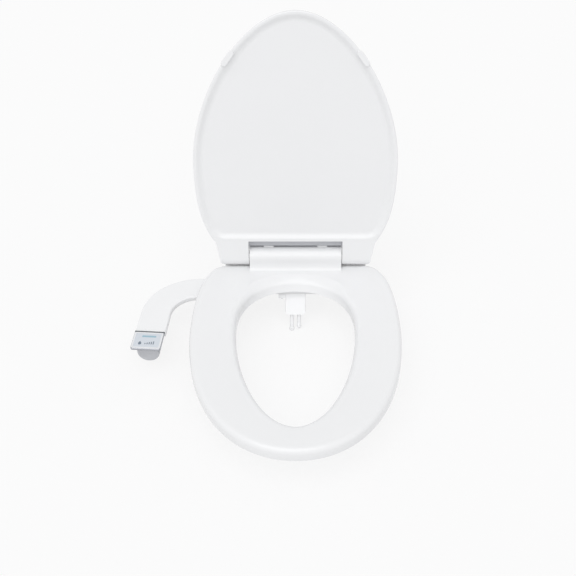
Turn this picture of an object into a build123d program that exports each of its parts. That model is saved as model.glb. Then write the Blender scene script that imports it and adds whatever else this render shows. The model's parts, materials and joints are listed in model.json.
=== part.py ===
from build123d import *
import os
from math import cos, radians, sin

# Water-pressure bidet seat with a side arm and a turning knob. Millimetres.
# X runs to the viewer's right, Y to the back and Z up. The origin lies between the two
# mounting bolts, on the bowl's rim plane.

# Fits
RUN_GAP = 0.05       # radial play of a pin that turns
SLIDE_GAP = 0.10     # radial play of a loose shaft or a sliding wand
SIDE_GAP = 1.5       # play between the seat's hinge block and the lid's lugs
DROP_IN = 0.2        # play round a piece that drops into a recess

# Mounting on the bowl
BOLT_PITCH = 140.0
BOLT_R = 4.0
BOLT_END = 50.0
SHOULDER_R = 7.0
SHOULDER_LENGTH = 20.0
SLEEVE_R = 6.6
SLEEVE_LENGTH = 16.0
TOP_NUT_R = 6.5
TOP_NUT_H = 5.0
CONE_NUT_LENGTH = 11.0
CONE_NUT_CHAMFER = 1.5
BOLT_SLOT = 20.0

# Bidet plate and arm
PAD_H = 0.8
PAD_SIZE = (24.0, 10.0)
PAD_CORNER = 3.0
PAD_SPOTS = [(-30, 16), (30, 16), (-36, -30), (36, -30)]
COVER_T = 1.6
PLATE_TOP = 9.5
SHELL_WALL = 2.0
SHELL_ROOF = 1.8
PLATE_LEFT = -124.0
PLATE_RIGHT = 104.0
PLATE_FRONT = -49.0
PLATE_BACK = 30.0
PLATE_CORNER = 14.0
DISC_R = 22.0
DISC_RIM = 2.2
ARM_WIDTH = 54.0
ARM_Y = -40.0
ARM_START = -90.0
BEND_X = -179.0
BEND_R = 75.0
BEND_TURN = 86.0
ARM_REACH = 54.0
ARM_EDGE_R = 2.5
SCREW_R = 1.3
SCREW_HEAD_R = 2.6
SCREW_HEAD_H = 1.0
BOSS_R = 3.2
SCREW_INSET = 8.0           # from the plate's edges
LEFT_SCREW_INSET = 22.0     # clear of the arm's root
FRONT_SCREW_X = 34.0
ARM_SCREW_SIDE = 20.5       # from the arm's middle line
ARM_SCREW_STEP = 28.0       # before the bend
HEAD_SCREW_BACK = 32.0      # from the arm's end
SCREW_TIP_SKIN = 0.5

# Hinge
HINGE_Z = 54.0
PIN_R = 4.5
PIN_REACH = 121.0
POST_IN = 58.0
POST_OUT = 81.5
POST_DEPTH = 18.0
POST_TOE = 11.0
POST_HEEL = 15.5
POST_FOOT_H = 6.0
WING_REACH = 133.0          # from the middle to a wing's outer end
WING_FRONT = 2.5
WING_BACK = 12.0
WING_TOP = 34.0
WING_R = 2.5
BARREL_R = 10.0
DAMPER_R = 9.0
DAMPER_END = 16.0
DAMPER_SHAFT_R = 4.0
SHAFT_PROUD = 1.0

# Seat: distances run forward from the hinge axis
SEAT_WIDTH = 368.0
SEAT_TIP = 460.0
SEAT_WIDE = 175.0
SEAT_REAR = 4.5
SEAT_REAR_FLAT = 264.0
SEAT_CORNER = 40.0
SEAT_FULLNESS = 0.60
SEAT_BOTTOM = 13.0
SEAT_THICK = 24.0
SEAT_WALL = 5.0
SEAT_BASE_T = 2.5
SEAT_EDGE_R = 9.0
SEAT_FOOT_R = 2.5
HOLE_WIDTH = 208.0
HOLE_TIP = 404.0
HOLE_WIDE = 168.0
HOLE_REAR = 49.0
HOLE_REAR_LOW = 63.0     # at the seat's underside
HOLE_FULLNESS = 0.52
HOLE_REAR_FULLNESS = 0.60
HOLE_EDGE_R = 11.0
BLOCK_WIDTH = 171.0
BLOCK_R = 17.5
BLOCK_WALL = 3.0
BLOCK_REAR_ANGLE = 57.0
BLOCK_FOOT = 9.0
STOP_RIB_X = 50.0
STOP_RIB_WIDTH = 18.0
STOP_RIB_H = 2.5
STOP_RIB_ARC = 18.0
RIB_T = 4.0
SEAT_BUMPER_LENGTH = 34.0
SEAT_BUMPER_WIDTH = 13.0
SEAT_BUMPER_EDGE_R = 2.0
REAR_BUMPER = (141.0, 125.0)
FRONT_BUMPER = (82.0, 384.0)
FRONT_BUMPER_ANGLE = 52.0

# Lid: distances run from the hinge axis toward the tip
LID_LEAN = 10.2
LID_WIDTH = 362.0
LID_TIP = 455.0
LID_WIDE = 183.0
LID_FULLNESS = 0.48
LID_REAR_WIDTH = 281.0      # across the lugs at the axis
LID_KNEE = (147.3, 33.0)    # where the lugs end and the panel starts
LID_FLARE_INSET = 5.7       # from the handle of the panel's side in from the lid's widest place
LID_FLARE_RUN = 41.0        # from the knee along the lid to that handle
LID_WAIST = 62.0
LID_RIM = 14.0              # from the axis to the rim's face
LID_BACK = -4.0             # from the axis back to the panel's back
LID_SKIN = 5.0
LID_WALL = 5.5
LID_POCKET_REAR = 42.0
LID_POCKET_CORNER = 30.0
LID_POCKET_SLOPE = 60.0     # of the pocket's sides, from square on
LID_EDGE_R = 6.0
LID_COVE_R = 10.0
LID_RIM_R = 5.0
LID_BROW_R = 2.0
LUG_R = 16.0
LUG_CORNER = (18.0, 0.0)
LUG_REACH = 54.0            # where the lugs run out on the panel's back
NOTCH_DEPTH = 36.5
SHIELD_T = 2.5
SHIELD_GAP = 1.2            # play over the stop ribs
SHIELD_TAIL = 5.0           # where the shield's tail ends, over the axis
LID_BUMPER = (113.5, 377.0)
LID_BUMPER_ANGLE = 54.0
LID_BUMPER_LENGTH = 31.0
LID_BUMPER_WIDTH = 10.0
LID_BUMPER_H = 2.7
LID_BUMPER_EDGE_R = 1.2

# Control head at the arm's end
GASKET_T = 4.0
GASKET_INSET = 0.5
GASKET_PROUD = 1.0
HOOD_WIDTH = 53.0
HOOD_LENGTH = 42.4
HOOD_T = 3.8
HOOD_TOP = 12.0
HOOD_CORNER = 4.0
HOOD_EDGE_R = 0.9
BEZEL_BORDER = 1.0
BEZEL_WIDTH = 3.0
BEZEL_H = 0.7
LABEL_T = 0.5
KNOB_R = 20.0
KNOB_T = 13.0
KNOB_WALL = 3.0
KNOB_FRONT_WALL = 4.0
KNOB_SET_BACK = 15.0
KNOB_EDGE_R = 3.0
KNOB_UNDER_HOOD = 0.4
KNOB_HUB_R = 7.0
KNOB_BACK_GAP = 0.8
VALVE_R = 12.8
VALVE_TAIL = 27.0
VALVE_BORE_R = 8.1
VALVE_FLOOR = 8.0
SADDLE_WIDTH = 24.0
STEM_R = 4.0
DISC_T = 3.0
PORT_R = 1.6
PORT_SPREAD = 4.5
FLANGE_T = 3.0
SEAL_T = 0.5
INLET_R = 10.48
INLET_LENGTH = 12.0
INLET_COLLAR_R = 13.0
INLET_COLLAR_T = 3.0
INLET_SPIGOT_R = 7.0
INLET_BORE_R = 5.0
INLET_BACK = 17.0
FILTER_T = 2.0

# Water tubes
TUBE_R = 2.5
TUBE_BORE_R = 1.5
TUBE_SPACING = 8.0
TUBE_Z = 5.0
BARB_LENGTH = 8.0
OUTLET_START = 8.0
OUTLET_LENGTH = 10.0
OUTLET_WIDTH = 22.0
OUTLET_ROOF_GAP = 0.3

# Nozzle unit
NOZZLE_ANGLE = 50.0
NOZZLE_TOP_Y = -49.5
HOUSING_LENGTH = 38.0
HOUSING_WIDTH = 38.0
HOUSING_FRONT = 9.0
HOUSING_BACK = 11.0
HOUSING_EDGE_R = 1.5
END_CAP_T = 6.0
END_CAP_CHAMFER = 5.0
WAND_SPACING = 13.2
WAND_R = 3.7
WAND_BORE_R = 1.5
REAR_TIP_R = 4.9
FRONT_TIP_R = 4.3
CYLINDER_R = 4.7
CYLINDER_DEPTH = 40.0
PISTON_R = 4.6
PISTON_T = 4.0
RING_R = 0.75
REAR_WAND_OUT = 30.0
FRONT_WAND_OUT = 25.3
PISTON_TOP = 20.0
SEAL_R = 3.92
SPRING_WIRE_R = 0.3
SPRING_R = 4.25
SPRING_TURNS = 7
MANIFOLD_WIDTH = 40.0
MANIFOLD_DEPTH = 16.0
SPIGOT_R = 2.0
SPIGOT_BORE_R = 1.5
SPIGOT_BORE_DEPTH = 4.0
SPIGOT_Y = -41.0
EAR_WIDTH = 13.0
EAR_H = 7.0
EAR_T = 4.0
EAR_SET = 1.0
EAR_SCREW_R = 1.9

# Values that follow from those above
SEAT_TOP = SEAT_BOTTOM + SEAT_THICK
COVER_TOP = PAD_H + COVER_T
SHELL_CEILING = PLATE_TOP - SHELL_ROOF
BLOCK_HALF = BLOCK_WIDTH / 2
NOTCH_HALF = BLOCK_HALF + SIDE_GAP
BOLT_X = BOLT_PITCH / 2
BLOCK_IN_R = BLOCK_R - BLOCK_WALL
BLOCK_DROP = HINGE_Z - SEAT_TOP
HOOD_UNDER = HOOD_TOP - HOOD_T
HOOD_MIDDLE = -GASKET_T - HOOD_LENGTH / 2
BEZEL_SIZE = (HOOD_WIDTH - 2 * BEZEL_BORDER, HOOD_LENGTH - 2 * BEZEL_BORDER)
LABEL_SIZE = (BEZEL_SIZE[0] - 2 * BEZEL_WIDTH, BEZEL_SIZE[1] - 2 * BEZEL_WIDTH)
KNOB_Z = HOOD_UNDER - KNOB_UNDER_HOOD - KNOB_R
KNOB_FACE = GASKET_T + HOOD_LENGTH - KNOB_SET_BACK
KNOB_BACK = KNOB_FACE - KNOB_T
VALVE_FRONT = KNOB_BACK - KNOB_BACK_GAP
LID_TURN = radians(90 + LID_LEAN)
DROP = radians(NOZZLE_ANGLE)
BEND_Y = ARM_Y - BEND_R
TURN = radians(90 + BEND_TURN)
HEADING = Vector(-sin(TURN), cos(TURN), 0)
BEND_END = Vector(BEND_X + BEND_R * cos(TURN), BEND_Y + BEND_R * sin(TURN), 0)
ARM_END = BEND_END + HEADING * ARM_REACH

# Working planes
HINGE = (0, 0, HINGE_Z)
LID_PLANE = Plane(origin=HINGE, x_dir=(1, 0, 0), z_dir=(0, sin(LID_TURN), cos(LID_TURN)))
LID_SIDE = Plane(origin=HINGE, x_dir=LID_PLANE.y_dir, z_dir=(1, 0, 0))
HEAD = Plane(origin=ARM_END, x_dir=(-HEADING.Y, HEADING.X, 0), z_dir=(0, 0, 1))
KNOB_PLANE = Plane(
    origin=HEAD.from_local_coords(Vector(0, 0, KNOB_Z)), x_dir=HEAD.x_dir, z_dir=HEADING
)
NOZZLE_UP = Vector(0, cos(DROP), sin(DROP))
NOZZLE_FOOT = Vector(
    0,
    NOZZLE_TOP_Y - HOUSING_LENGTH * cos(DROP) + HOUSING_FRONT * sin(DROP),
    -HOUSING_LENGTH * sin(DROP) - HOUSING_FRONT * cos(DROP),
)
NOZZLE_PLANE = Plane(origin=NOZZLE_FOOT, x_dir=(1, 0, 0), z_dir=NOZZLE_UP)
AXIS_X = Plane(origin=HINGE, x_dir=(0, 1, 0), z_dir=(1, 0, 0))

BOLT_SPOTS = [(-BOLT_X, 0), (BOLT_X, 0)]
SPIGOT_SPOTS = [(-WAND_SPACING / 2, SPIGOT_Y), (WAND_SPACING / 2, SPIGOT_Y)]
HEAD_SCREWS = [
    HEAD.from_local_coords(Vector(side * ARM_SCREW_SIDE, HEAD_SCREW_BACK, 0)) for side in (-1, 1)
]
BEND_SCREW_R = (BEND_R + ARM_SCREW_SIDE) * sin(radians(45))
SCREW_SPOTS = [
    (PLATE_RIGHT - SCREW_INSET, PLATE_BACK - SCREW_INSET),
    (PLATE_RIGHT - SCREW_INSET, PLATE_FRONT + SCREW_INSET),
    (PLATE_LEFT + LEFT_SCREW_INSET, PLATE_BACK - SCREW_INSET),
    (FRONT_SCREW_X, PLATE_FRONT + SCREW_INSET),
    (BEND_X + ARM_SCREW_STEP, ARM_Y + ARM_SCREW_SIDE),
    (BEND_X - BEND_SCREW_R, BEND_Y + BEND_SCREW_R),
    (HEAD_SCREWS[0].X, HEAD_SCREWS[0].Y),
    (HEAD_SCREWS[1].X, HEAD_SCREWS[1].Y),
]
TOUCH = 0.01    # edges this near to a level lie on it


def seat_face(inset=0):
    """Outer outline of the seat, from the rear flat round to the tip, drawn in by the inset."""
    half = SEAT_WIDTH / 2 - inset
    flat = SEAT_REAR_FLAT / 2 - inset / 2
    rear = -SEAT_REAR - inset
    tip = -SEAT_TIP + inset
    reach = SEAT_FULLNESS * (-SEAT_WIDE - tip)
    with BuildSketch() as face:
        with BuildLine():
            Line((0, rear), (flat, rear))
            side = (half, -SEAT_WIDE)
            Bezier((flat, rear), (flat + SEAT_CORNER, rear), (half, -SEAT_WIDE / 2), side)
            Bezier(side, (half, -SEAT_WIDE - reach), (SEAT_FULLNESS * half, tip), (0, tip))
            mirror(about=Plane.YZ)
        make_face()
    return face.sketch


def hole_face(outset=0, hole_rear=HOLE_REAR):
    """Egg-shaped opening of the seat, widened all round by the outset."""
    half = HOLE_WIDTH / 2 + outset
    tip = -HOLE_TIP - outset
    back = -hole_rear + outset
    front = HOLE_FULLNESS * (-HOLE_WIDE - tip)
    rear = HOLE_REAR_FULLNESS * (back + HOLE_WIDE)
    with BuildSketch() as face:
        with BuildLine():
            side = (half, -HOLE_WIDE)
            Bezier((0, back), (HOLE_REAR_FULLNESS * half, back), (half, -HOLE_WIDE + rear), side)
            Bezier(side, (half, -HOLE_WIDE - front), (HOLE_FULLNESS * half, tip), (0, tip))
            mirror(about=Plane.YZ)
        make_face()
    return face.sketch


def seat_pocket_face(gap):
    """Hollow under the seat's skin, drawn in by a further gap."""
    keep_out = BLOCK_IN_R + 2 * BLOCK_WALL + gap
    with BuildSketch() as face:
        add(seat_face(SEAT_WALL + gap))
        add(hole_face(SEAT_WALL + gap), mode=Mode.SUBTRACT)
        Rectangle(BLOCK_WIDTH + 2 * SEAT_WALL + 2 * gap, 2 * keep_out, mode=Mode.SUBTRACT)
    return face.sketch


def lid_face(inset=0):
    """Outline of the lid with its lugs, seen square on, hinge axis at y = 0."""
    half = LID_WIDTH / 2 - inset
    rear = LID_REAR_WIDTH / 2 - inset
    tip = -LID_TIP + inset
    reach = LID_FULLNESS * (-LID_WIDE - tip)
    with BuildSketch() as face:
        with BuildLine():
            foot = (rear - LUG_CORNER[0], LUG_R)
            Line((0, LUG_R), foot)
            Bezier(foot, (rear, LUG_R), (rear, LUG_CORNER[1]))
            knee = (LID_KNEE[0] - inset, -LID_KNEE[1])
            Line((rear, LUG_CORNER[1]), knee)
            side = (half, -LID_WIDE)
            flare = (half - LID_FLARE_INSET, knee[1] - LID_FLARE_RUN)
            Bezier(knee, flare, (half, -LID_WIDE + LID_WAIST), side)
            Bezier(side, (half, -LID_WIDE - reach), (LID_FULLNESS * half, tip), (0, tip))
            mirror(about=Plane.YZ)
        make_face()
    return face.sketch


def lug_face():
    """Side view of a lug: a barrel about the axis, drawn out to the panel's two faces."""
    with BuildSketch() as face:
        with BuildLine() as ends:
            CenterArc((0, 0), LUG_R, 0, 360)
            Line((-NOTCH_DEPTH, -LID_RIM), (-LUG_REACH, LID_BACK))
        make_hull(ends.edges())
    return face.sketch


def lid_height(edge):
    """Height of an edge's middle over the lid's middle plane."""
    return LID_PLANE.to_local_coords(edge.center()).Z


def arm_face(half_width, setback):
    """Band along the arm: straight, bend, straight, ending short by the setback."""
    side = HEAD.x_dir * half_width
    end = ARM_END - HEADING * setback
    outer_r = BEND_R + half_width
    inner_r = BEND_R - half_width
    with BuildSketch() as face:
        with BuildLine():
            Line((ARM_START, ARM_Y + half_width), (BEND_X, ARM_Y + half_width))
            outer = CenterArc((BEND_X, BEND_Y), outer_r, 90, BEND_TURN)
            Line(outer @ 1, end - side)
            Line(end - side, end + side)
            inner = CenterArc((BEND_X, BEND_Y), inner_r, 90, BEND_TURN)
            Line(end + side, inner @ 1)
            Line(inner @ 0, (ARM_START, ARM_Y - half_width))
            Line((ARM_START, ARM_Y - half_width), (ARM_START, ARM_Y + half_width))
        make_face()
    return face.sketch


def body_face(inset):
    """Plate and arm together, drawn in by the inset."""
    width = PLATE_RIGHT - PLATE_LEFT
    depth = PLATE_BACK - PLATE_FRONT
    with BuildSketch() as face:
        with Locations(((PLATE_LEFT + PLATE_RIGHT) / 2, (PLATE_FRONT + PLATE_BACK) / 2)):
            RectangleRounded(width - 2 * inset, depth - 2 * inset, PLATE_CORNER - inset)
        add(arm_face(ARM_WIDTH / 2 - inset, inset))
    return face.sketch


def tube_path(across):
    """Ends of a tube that keeps its distance across the arm's middle line."""
    shift = HEAD.x_dir * across
    start = ARM_END - HEADING * (OUTLET_START + OUTLET_LENGTH) + shift
    return start, BEND_R - across


# Seat
with BuildPart() as seat_hinge_cover:
    toe = -BLOCK_R - BLOCK_FOOT
    under = -BLOCK_DROP - SEAT_WALL
    with BuildSketch(AXIS_X.offset(-BLOCK_HALF)):
        with BuildLine():
            cover = CenterArc((0, 0), BLOCK_R, BLOCK_REAR_ANGLE, 180 - BLOCK_REAR_ANGLE)
            EllipticalCenterArc((toe, 0), BLOCK_FOOT, BLOCK_DROP, -90, arc_size=90)
            Line((toe, -BLOCK_DROP), (toe, under))
            Line((toe, under), (-BLOCK_IN_R, under))
            lining = CenterArc((0, 0), BLOCK_IN_R, BLOCK_REAR_ANGLE, 180 - BLOCK_REAR_ANGLE)
            Line((-BLOCK_IN_R, under), lining @ 1)
            Line(lining @ 0, cover @ 0)
        make_face()
    extrude(amount=BLOCK_WIDTH)
    for end in (-BLOCK_HALF, BLOCK_HALF - BLOCK_WALL):
        with BuildSketch(AXIS_X.offset(end)):
            Circle(BLOCK_R)
        extrude(amount=BLOCK_WALL)
    for middle in (-STOP_RIB_X, STOP_RIB_X):
        with BuildSketch(AXIS_X.offset(middle - STOP_RIB_WIDTH / 2)):
            with BuildLine():
                rib_foot = CenterArc((0, 0), BLOCK_IN_R, BLOCK_REAR_ANGLE, STOP_RIB_ARC)
                rib_top = CenterArc((0, 0), BLOCK_R + STOP_RIB_H, BLOCK_REAR_ANGLE, STOP_RIB_ARC)
                Line(rib_foot @ 0, rib_top @ 0)
                Line(rib_foot @ 1, rib_top @ 1)
            make_face()
        extrude(amount=STOP_RIB_WIDTH)
    with BuildSketch(AXIS_X.offset(-DAMPER_END + RIB_T)):
        Circle(BLOCK_IN_R + BLOCK_WALL / 2)
    extrude(amount=RIB_T)
    with BuildSketch(AXIS_X.offset(-DAMPER_END)):
        Circle(DAMPER_SHAFT_R)
    extrude(amount=DAMPER_END, mode=Mode.SUBTRACT)
    for end in (-BLOCK_HALF, BLOCK_HALF - BLOCK_WALL):
        with BuildSketch(AXIS_X.offset(end)):
            Circle(PIN_R + RUN_GAP)
        extrude(amount=BLOCK_WALL, mode=Mode.SUBTRACT)

with BuildPart() as seat_shell:
    with BuildSketch(Plane.XY.offset(SEAT_BOTTOM)):
        add(seat_face())
    extrude(amount=SEAT_THICK)
    with BuildSketch(Plane.XY.offset(SEAT_BOTTOM)):
        add(hole_face(hole_rear=HOLE_REAR_LOW))
    with BuildSketch(Plane.XY.offset(SEAT_TOP)):
        add(hole_face())
    loft(mode=Mode.SUBTRACT)
    top_edges = seat_shell.edges().group_by(Axis.Z)[-1]
    rim_edges = top_edges.filter_by(
        lambda e: e.bounding_box().min.Y < -HOLE_TIP - HOLE_EDGE_R or e.center().Y > -HOLE_REAR
    )
    hole_edges = top_edges.filter_by(lambda e: e not in rim_edges)
    fillet(hole_edges, radius=HOLE_EDGE_R)
    fillet(rim_edges, radius=SEAT_EDGE_R)
    foot_edges = seat_shell.edges().group_by(Axis.Z)[0]
    outer_foot = foot_edges.filter_by(lambda e: e.bounding_box().min.Y < -HOLE_TIP - HOLE_EDGE_R)
    fillet(outer_foot, radius=SEAT_FOOT_R)
    with BuildSketch(Plane.XY.offset(SEAT_BOTTOM)):
        add(seat_pocket_face(0))
    extrude(amount=SEAT_THICK - SEAT_WALL, mode=Mode.SUBTRACT)
    with BuildSketch(Plane.XY.offset(SEAT_BOTTOM)):
        with Locations((0, -BLOCK_IN_R)):
            Rectangle(2 * (BLOCK_HALF - BLOCK_WALL), BLOCK_R, align=(Align.CENTER, Align.MIN))
    extrude(amount=SEAT_THICK, mode=Mode.SUBTRACT)
    add(seat_hinge_cover.part, mode=Mode.SUBTRACT)

with BuildPart() as seat_base:
    with BuildSketch(Plane.XY.offset(SEAT_BOTTOM)):
        add(seat_pocket_face(DROP_IN))
    extrude(amount=SEAT_BASE_T)

with BuildPart() as seat_bumpers:
    for side in (-1, 1):
        with BuildSketch(Plane.XY):
            with Locations((side * REAR_BUMPER[0], -REAR_BUMPER[1])):
                SlotOverall(SEAT_BUMPER_LENGTH, SEAT_BUMPER_WIDTH, rotation=90)
            with Locations((side * FRONT_BUMPER[0], -FRONT_BUMPER[1])):
                SlotOverall(SEAT_BUMPER_LENGTH, SEAT_BUMPER_WIDTH, rotation=side * FRONT_BUMPER_ANGLE)
        extrude(amount=SEAT_BOTTOM)
    fillet(seat_bumpers.edges().group_by(Axis.Z)[0], radius=SEAT_BUMPER_EDGE_R)

with BuildPart() as seat_damper_shaft:
    with BuildSketch(AXIS_X.offset(-2 * DAMPER_END)):
        Circle(DAMPER_SHAFT_R)
    extrude(amount=DAMPER_END + 2 * RIB_T + SHAFT_PROUD)

# Lid, drawn in its open position
with BuildPart() as lugs:
    with BuildSketch(LID_PLANE.offset(-LUG_R)):
        add(lid_face())
    extrude(amount=2 * LUG_R)
    with BuildSketch(LID_SIDE):
        add(lug_face())
    extrude(amount=LID_WIDTH, both=True, mode=Mode.INTERSECT)

with BuildPart() as lid_shell:
    with BuildSketch(LID_PLANE.offset(-LID_RIM)):
        add(lid_face())
    extrude(amount=LID_RIM + LID_BACK)
    back_edges = lid_shell.edges().filter_by(lambda e: abs(lid_height(e) - LID_BACK) < TOUCH)
    fillet(back_edges, radius=LID_EDGE_R)
    with BuildSketch(LID_PLANE.offset(-LUG_R)):
        Rectangle(LID_WIDTH, 2 * LUG_R, align=(Align.CENTER, Align.MIN))
    extrude(amount=2 * LUG_R, mode=Mode.SUBTRACT)
    with BuildSketch(LID_PLANE.offset(-LID_RIM)) as pocket:
        add(lid_face(LID_WALL))
        with Locations((0, -LID_POCKET_REAR)):
            Rectangle(LID_WIDTH, LID_TIP, align=(Align.CENTER, Align.MAX), mode=Mode.INTERSECT)
        rear_corners = pocket.vertices().filter_by(lambda v: abs(v.X) > NOTCH_HALF)
        fillet(rear_corners.sort_by(Axis.Z)[:2], radius=LID_POCKET_CORNER)
    extrude(amount=LID_RIM + LID_BACK - LID_SKIN, taper=LID_POCKET_SLOPE, mode=Mode.SUBTRACT)
    cove_edges = lid_shell.edges().filter_by(lambda e: abs(lid_height(e) - LID_BACK + LID_SKIN) < TOUCH)
    fillet(cove_edges, radius=LID_COVE_R)
    mouth_edges = lid_shell.edges().filter_by(
        lambda e: abs(lid_height(e) + LID_RIM) < TOUCH
        and e.bounding_box().min.Z > HINGE_Z + NOTCH_DEPTH
        and e.bounding_box().max.X < LID_WIDTH / 2 - LID_WALL / 2
        and e.bounding_box().min.X > -LID_WIDTH / 2 + LID_WALL / 2
    )
    fillet(mouth_edges, radius=LID_RIM_R)
    front_edges = lid_shell.edges().filter_by(lambda e: abs(lid_height(e) + LID_RIM) < TOUCH)
    side_edges = front_edges.filter_by(
        lambda e: max(e.bounding_box().max.X, -e.bounding_box().min.X) > LID_WIDTH / 2 - LID_WALL / 2
    )
    knee_edges = front_edges.filter_by(
        lambda e: LID_REAR_WIDTH / 2 < abs(e.center().X) < LID_KNEE[0]
        and e.center().Z < HINGE_Z + LID_KNEE[1]
    )
    brow_edges = side_edges + knee_edges
    fillet(brow_edges, radius=LID_BROW_R)
    add(lugs.part)
    with BuildSketch(LID_PLANE.offset(-2 * LUG_R)):
        with Locations((0, -NOTCH_DEPTH)):
            Rectangle(2 * NOTCH_HALF, NOTCH_DEPTH + 2 * LUG_R, align=(Align.CENTER, Align.MIN))
    extrude(amount=4 * LUG_R, mode=Mode.SUBTRACT)
    with BuildSketch(AXIS_X.offset(-PIN_REACH - SHAFT_PROUD)):
        Circle(PIN_R + RUN_GAP)
    extrude(amount=PIN_REACH / 2, mode=Mode.SUBTRACT)
    with BuildSketch(AXIS_X.offset(PIN_REACH / 2)):
        Circle(PIN_R)
    extrude(amount=PIN_REACH / 2, mode=Mode.SUBTRACT)

with BuildPart() as lid_hinge_shield:
    shield_r = BLOCK_R + STOP_RIB_H + SHIELD_GAP
    with BuildSketch(LID_SIDE.offset(-NOTCH_HALF)):
        Circle(shield_r + SHIELD_T)
        with Locations((-NOTCH_DEPTH, 0)):
            Rectangle(NOTCH_DEPTH, SHIELD_T, align=(Align.MIN, Align.MIN))
            wrap = (NOTCH_DEPTH - SHIELD_TAIL, shield_r + SHIELD_T)
            Rectangle(*wrap, align=(Align.MIN, Align.MIN), mode=Mode.INTERSECT)
        Circle(shield_r, mode=Mode.SUBTRACT)
    extrude(amount=2 * NOTCH_HALF)

with BuildPart() as lid_bumpers:
    with BuildSketch(LID_PLANE.offset(-LID_RIM)):
        for side in (-1, 1):
            with Locations((side * LID_BUMPER[0], -LID_BUMPER[1])):
                SlotOverall(LID_BUMPER_LENGTH, LID_BUMPER_WIDTH, rotation=side * LID_BUMPER_ANGLE)
    extrude(amount=-LID_BUMPER_H)
    bumper_faces = lid_bumpers.faces().sort_by(lambda f: LID_PLANE.to_local_coords(f.center()).Z)
    fillet(bumper_faces[:2].edges(), radius=LID_BUMPER_EDGE_R)

with BuildPart() as lid_damper_shaft:
    with BuildSketch(AXIS_X.offset(2 * DAMPER_END)):
        Circle(PIN_R)
    extrude(amount=PIN_REACH - 2 * DAMPER_END)

# Hinge carried by the bowl
with BuildPart() as hinge_posts:
    for inner in (-POST_OUT, POST_IN):
        width = POST_OUT - POST_IN
        with BuildSketch(AXIS_X.offset(inner)):
            with Locations((0, PLATE_TOP - HINGE_Z)):
                Rectangle(POST_DEPTH, HINGE_Z - PLATE_TOP, align=(Align.CENTER, Align.MIN))
            with Locations((-POST_TOE, PLATE_TOP - HINGE_Z)):
                Rectangle(POST_TOE + POST_HEEL, POST_FOOT_H, align=(Align.MIN, Align.MIN))
            Circle(BARREL_R)
        extrude(amount=width)
    with BuildSketch(Plane.XY.offset(PLATE_TOP)):
        with Locations(*BOLT_SPOTS):
            Circle(TOP_NUT_R + DROP_IN)
    extrude(amount=TOP_NUT_H + DROP_IN, mode=Mode.SUBTRACT)
    with BuildSketch(AXIS_X.offset(-POST_OUT)):
        Circle(PIN_R)
    extrude(amount=POST_OUT - POST_IN, mode=Mode.SUBTRACT)
    with BuildSketch(AXIS_X.offset(POST_IN)):
        Circle(PIN_R + RUN_GAP)
    extrude(amount=POST_OUT - POST_IN, mode=Mode.SUBTRACT)

with BuildPart() as hinge_wings:
    with BuildSketch(Plane.XY.offset(PLATE_TOP)):
        for side, align in ((-1, Align.MAX), (1, Align.MIN)):
            with Locations((side * POST_OUT, -WING_FRONT)):
                Rectangle(WING_REACH - POST_OUT, WING_FRONT + WING_BACK, align=(align, Align.MIN))
    extrude(amount=WING_TOP - PLATE_TOP)
    free_edges = hinge_wings.edges().filter_by(
        lambda e: abs(e.center().X) > POST_OUT + TOUCH and e.center().Z > PLATE_TOP + TOUCH
    )
    fillet(free_edges, radius=WING_R)

with BuildPart() as hinge_pin:
    with BuildSketch(AXIS_X.offset(-PIN_REACH)):
        Circle(PIN_R)
    extrude(amount=PIN_REACH - POST_IN)

with BuildPart() as seat_damper:
    with BuildSketch(AXIS_X.offset(-POST_IN)):
        Circle(DAMPER_R)
    extrude(amount=POST_IN - DAMPER_END)
    with BuildSketch(AXIS_X.offset(-2 * DAMPER_END - SHAFT_PROUD)):
        Circle(DAMPER_SHAFT_R + SLIDE_GAP)
    extrude(amount=2 * DAMPER_END, mode=Mode.SUBTRACT)

with BuildPart() as lid_damper:
    with BuildSketch(AXIS_X.offset(DAMPER_END)):
        Circle(DAMPER_R)
    extrude(amount=POST_IN - DAMPER_END)
    with BuildSketch(AXIS_X.offset(2 * DAMPER_END - SHAFT_PROUD)):
        Circle(PIN_R + RUN_GAP)
    extrude(amount=POST_IN, mode=Mode.SUBTRACT)

with BuildPart() as mounting_bolts:
    with BuildSketch(Plane.XY.offset(-BOLT_END)):
        with Locations(*BOLT_SPOTS):
            Circle(BOLT_R)
    extrude(amount=BOLT_END + PLATE_TOP + TOP_NUT_H - SHAFT_PROUD)
    with BuildSketch(Plane.XY.offset(PAD_H)):
        with Locations(*BOLT_SPOTS):
            Circle(SHOULDER_R)
    extrude(amount=-PAD_H - SHOULDER_LENGTH)

with BuildPart() as top_nuts:
    with BuildSketch(Plane.XY.offset(PLATE_TOP)):
        with Locations(*BOLT_SPOTS):
            RegularPolygon(TOP_NUT_R, 6)
            Circle(BOLT_R, mode=Mode.SUBTRACT)
    extrude(amount=TOP_NUT_H)

with BuildPart() as expansion_sleeves:
    with BuildSketch(Plane.XY.offset(-SHOULDER_LENGTH)):
        with Locations(*BOLT_SPOTS):
            Circle(SLEEVE_R)
            Circle(BOLT_R, mode=Mode.SUBTRACT)
    extrude(amount=-SLEEVE_LENGTH)

with BuildPart() as cone_nuts:
    with BuildSketch(Plane.XY.offset(-SHOULDER_LENGTH - SLEEVE_LENGTH)):
        with Locations(*BOLT_SPOTS):
            Circle(SLEEVE_R)
    extrude(amount=-CONE_NUT_LENGTH)
    chamfer(cone_nuts.edges().group_by(Axis.Z)[0], length=CONE_NUT_CHAMFER)
    with BuildSketch(Plane.XY.offset(-SHOULDER_LENGTH - SLEEVE_LENGTH)):
        with Locations(*BOLT_SPOTS):
            Circle(BOLT_R)
    extrude(amount=-CONE_NUT_LENGTH, mode=Mode.SUBTRACT)

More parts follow.
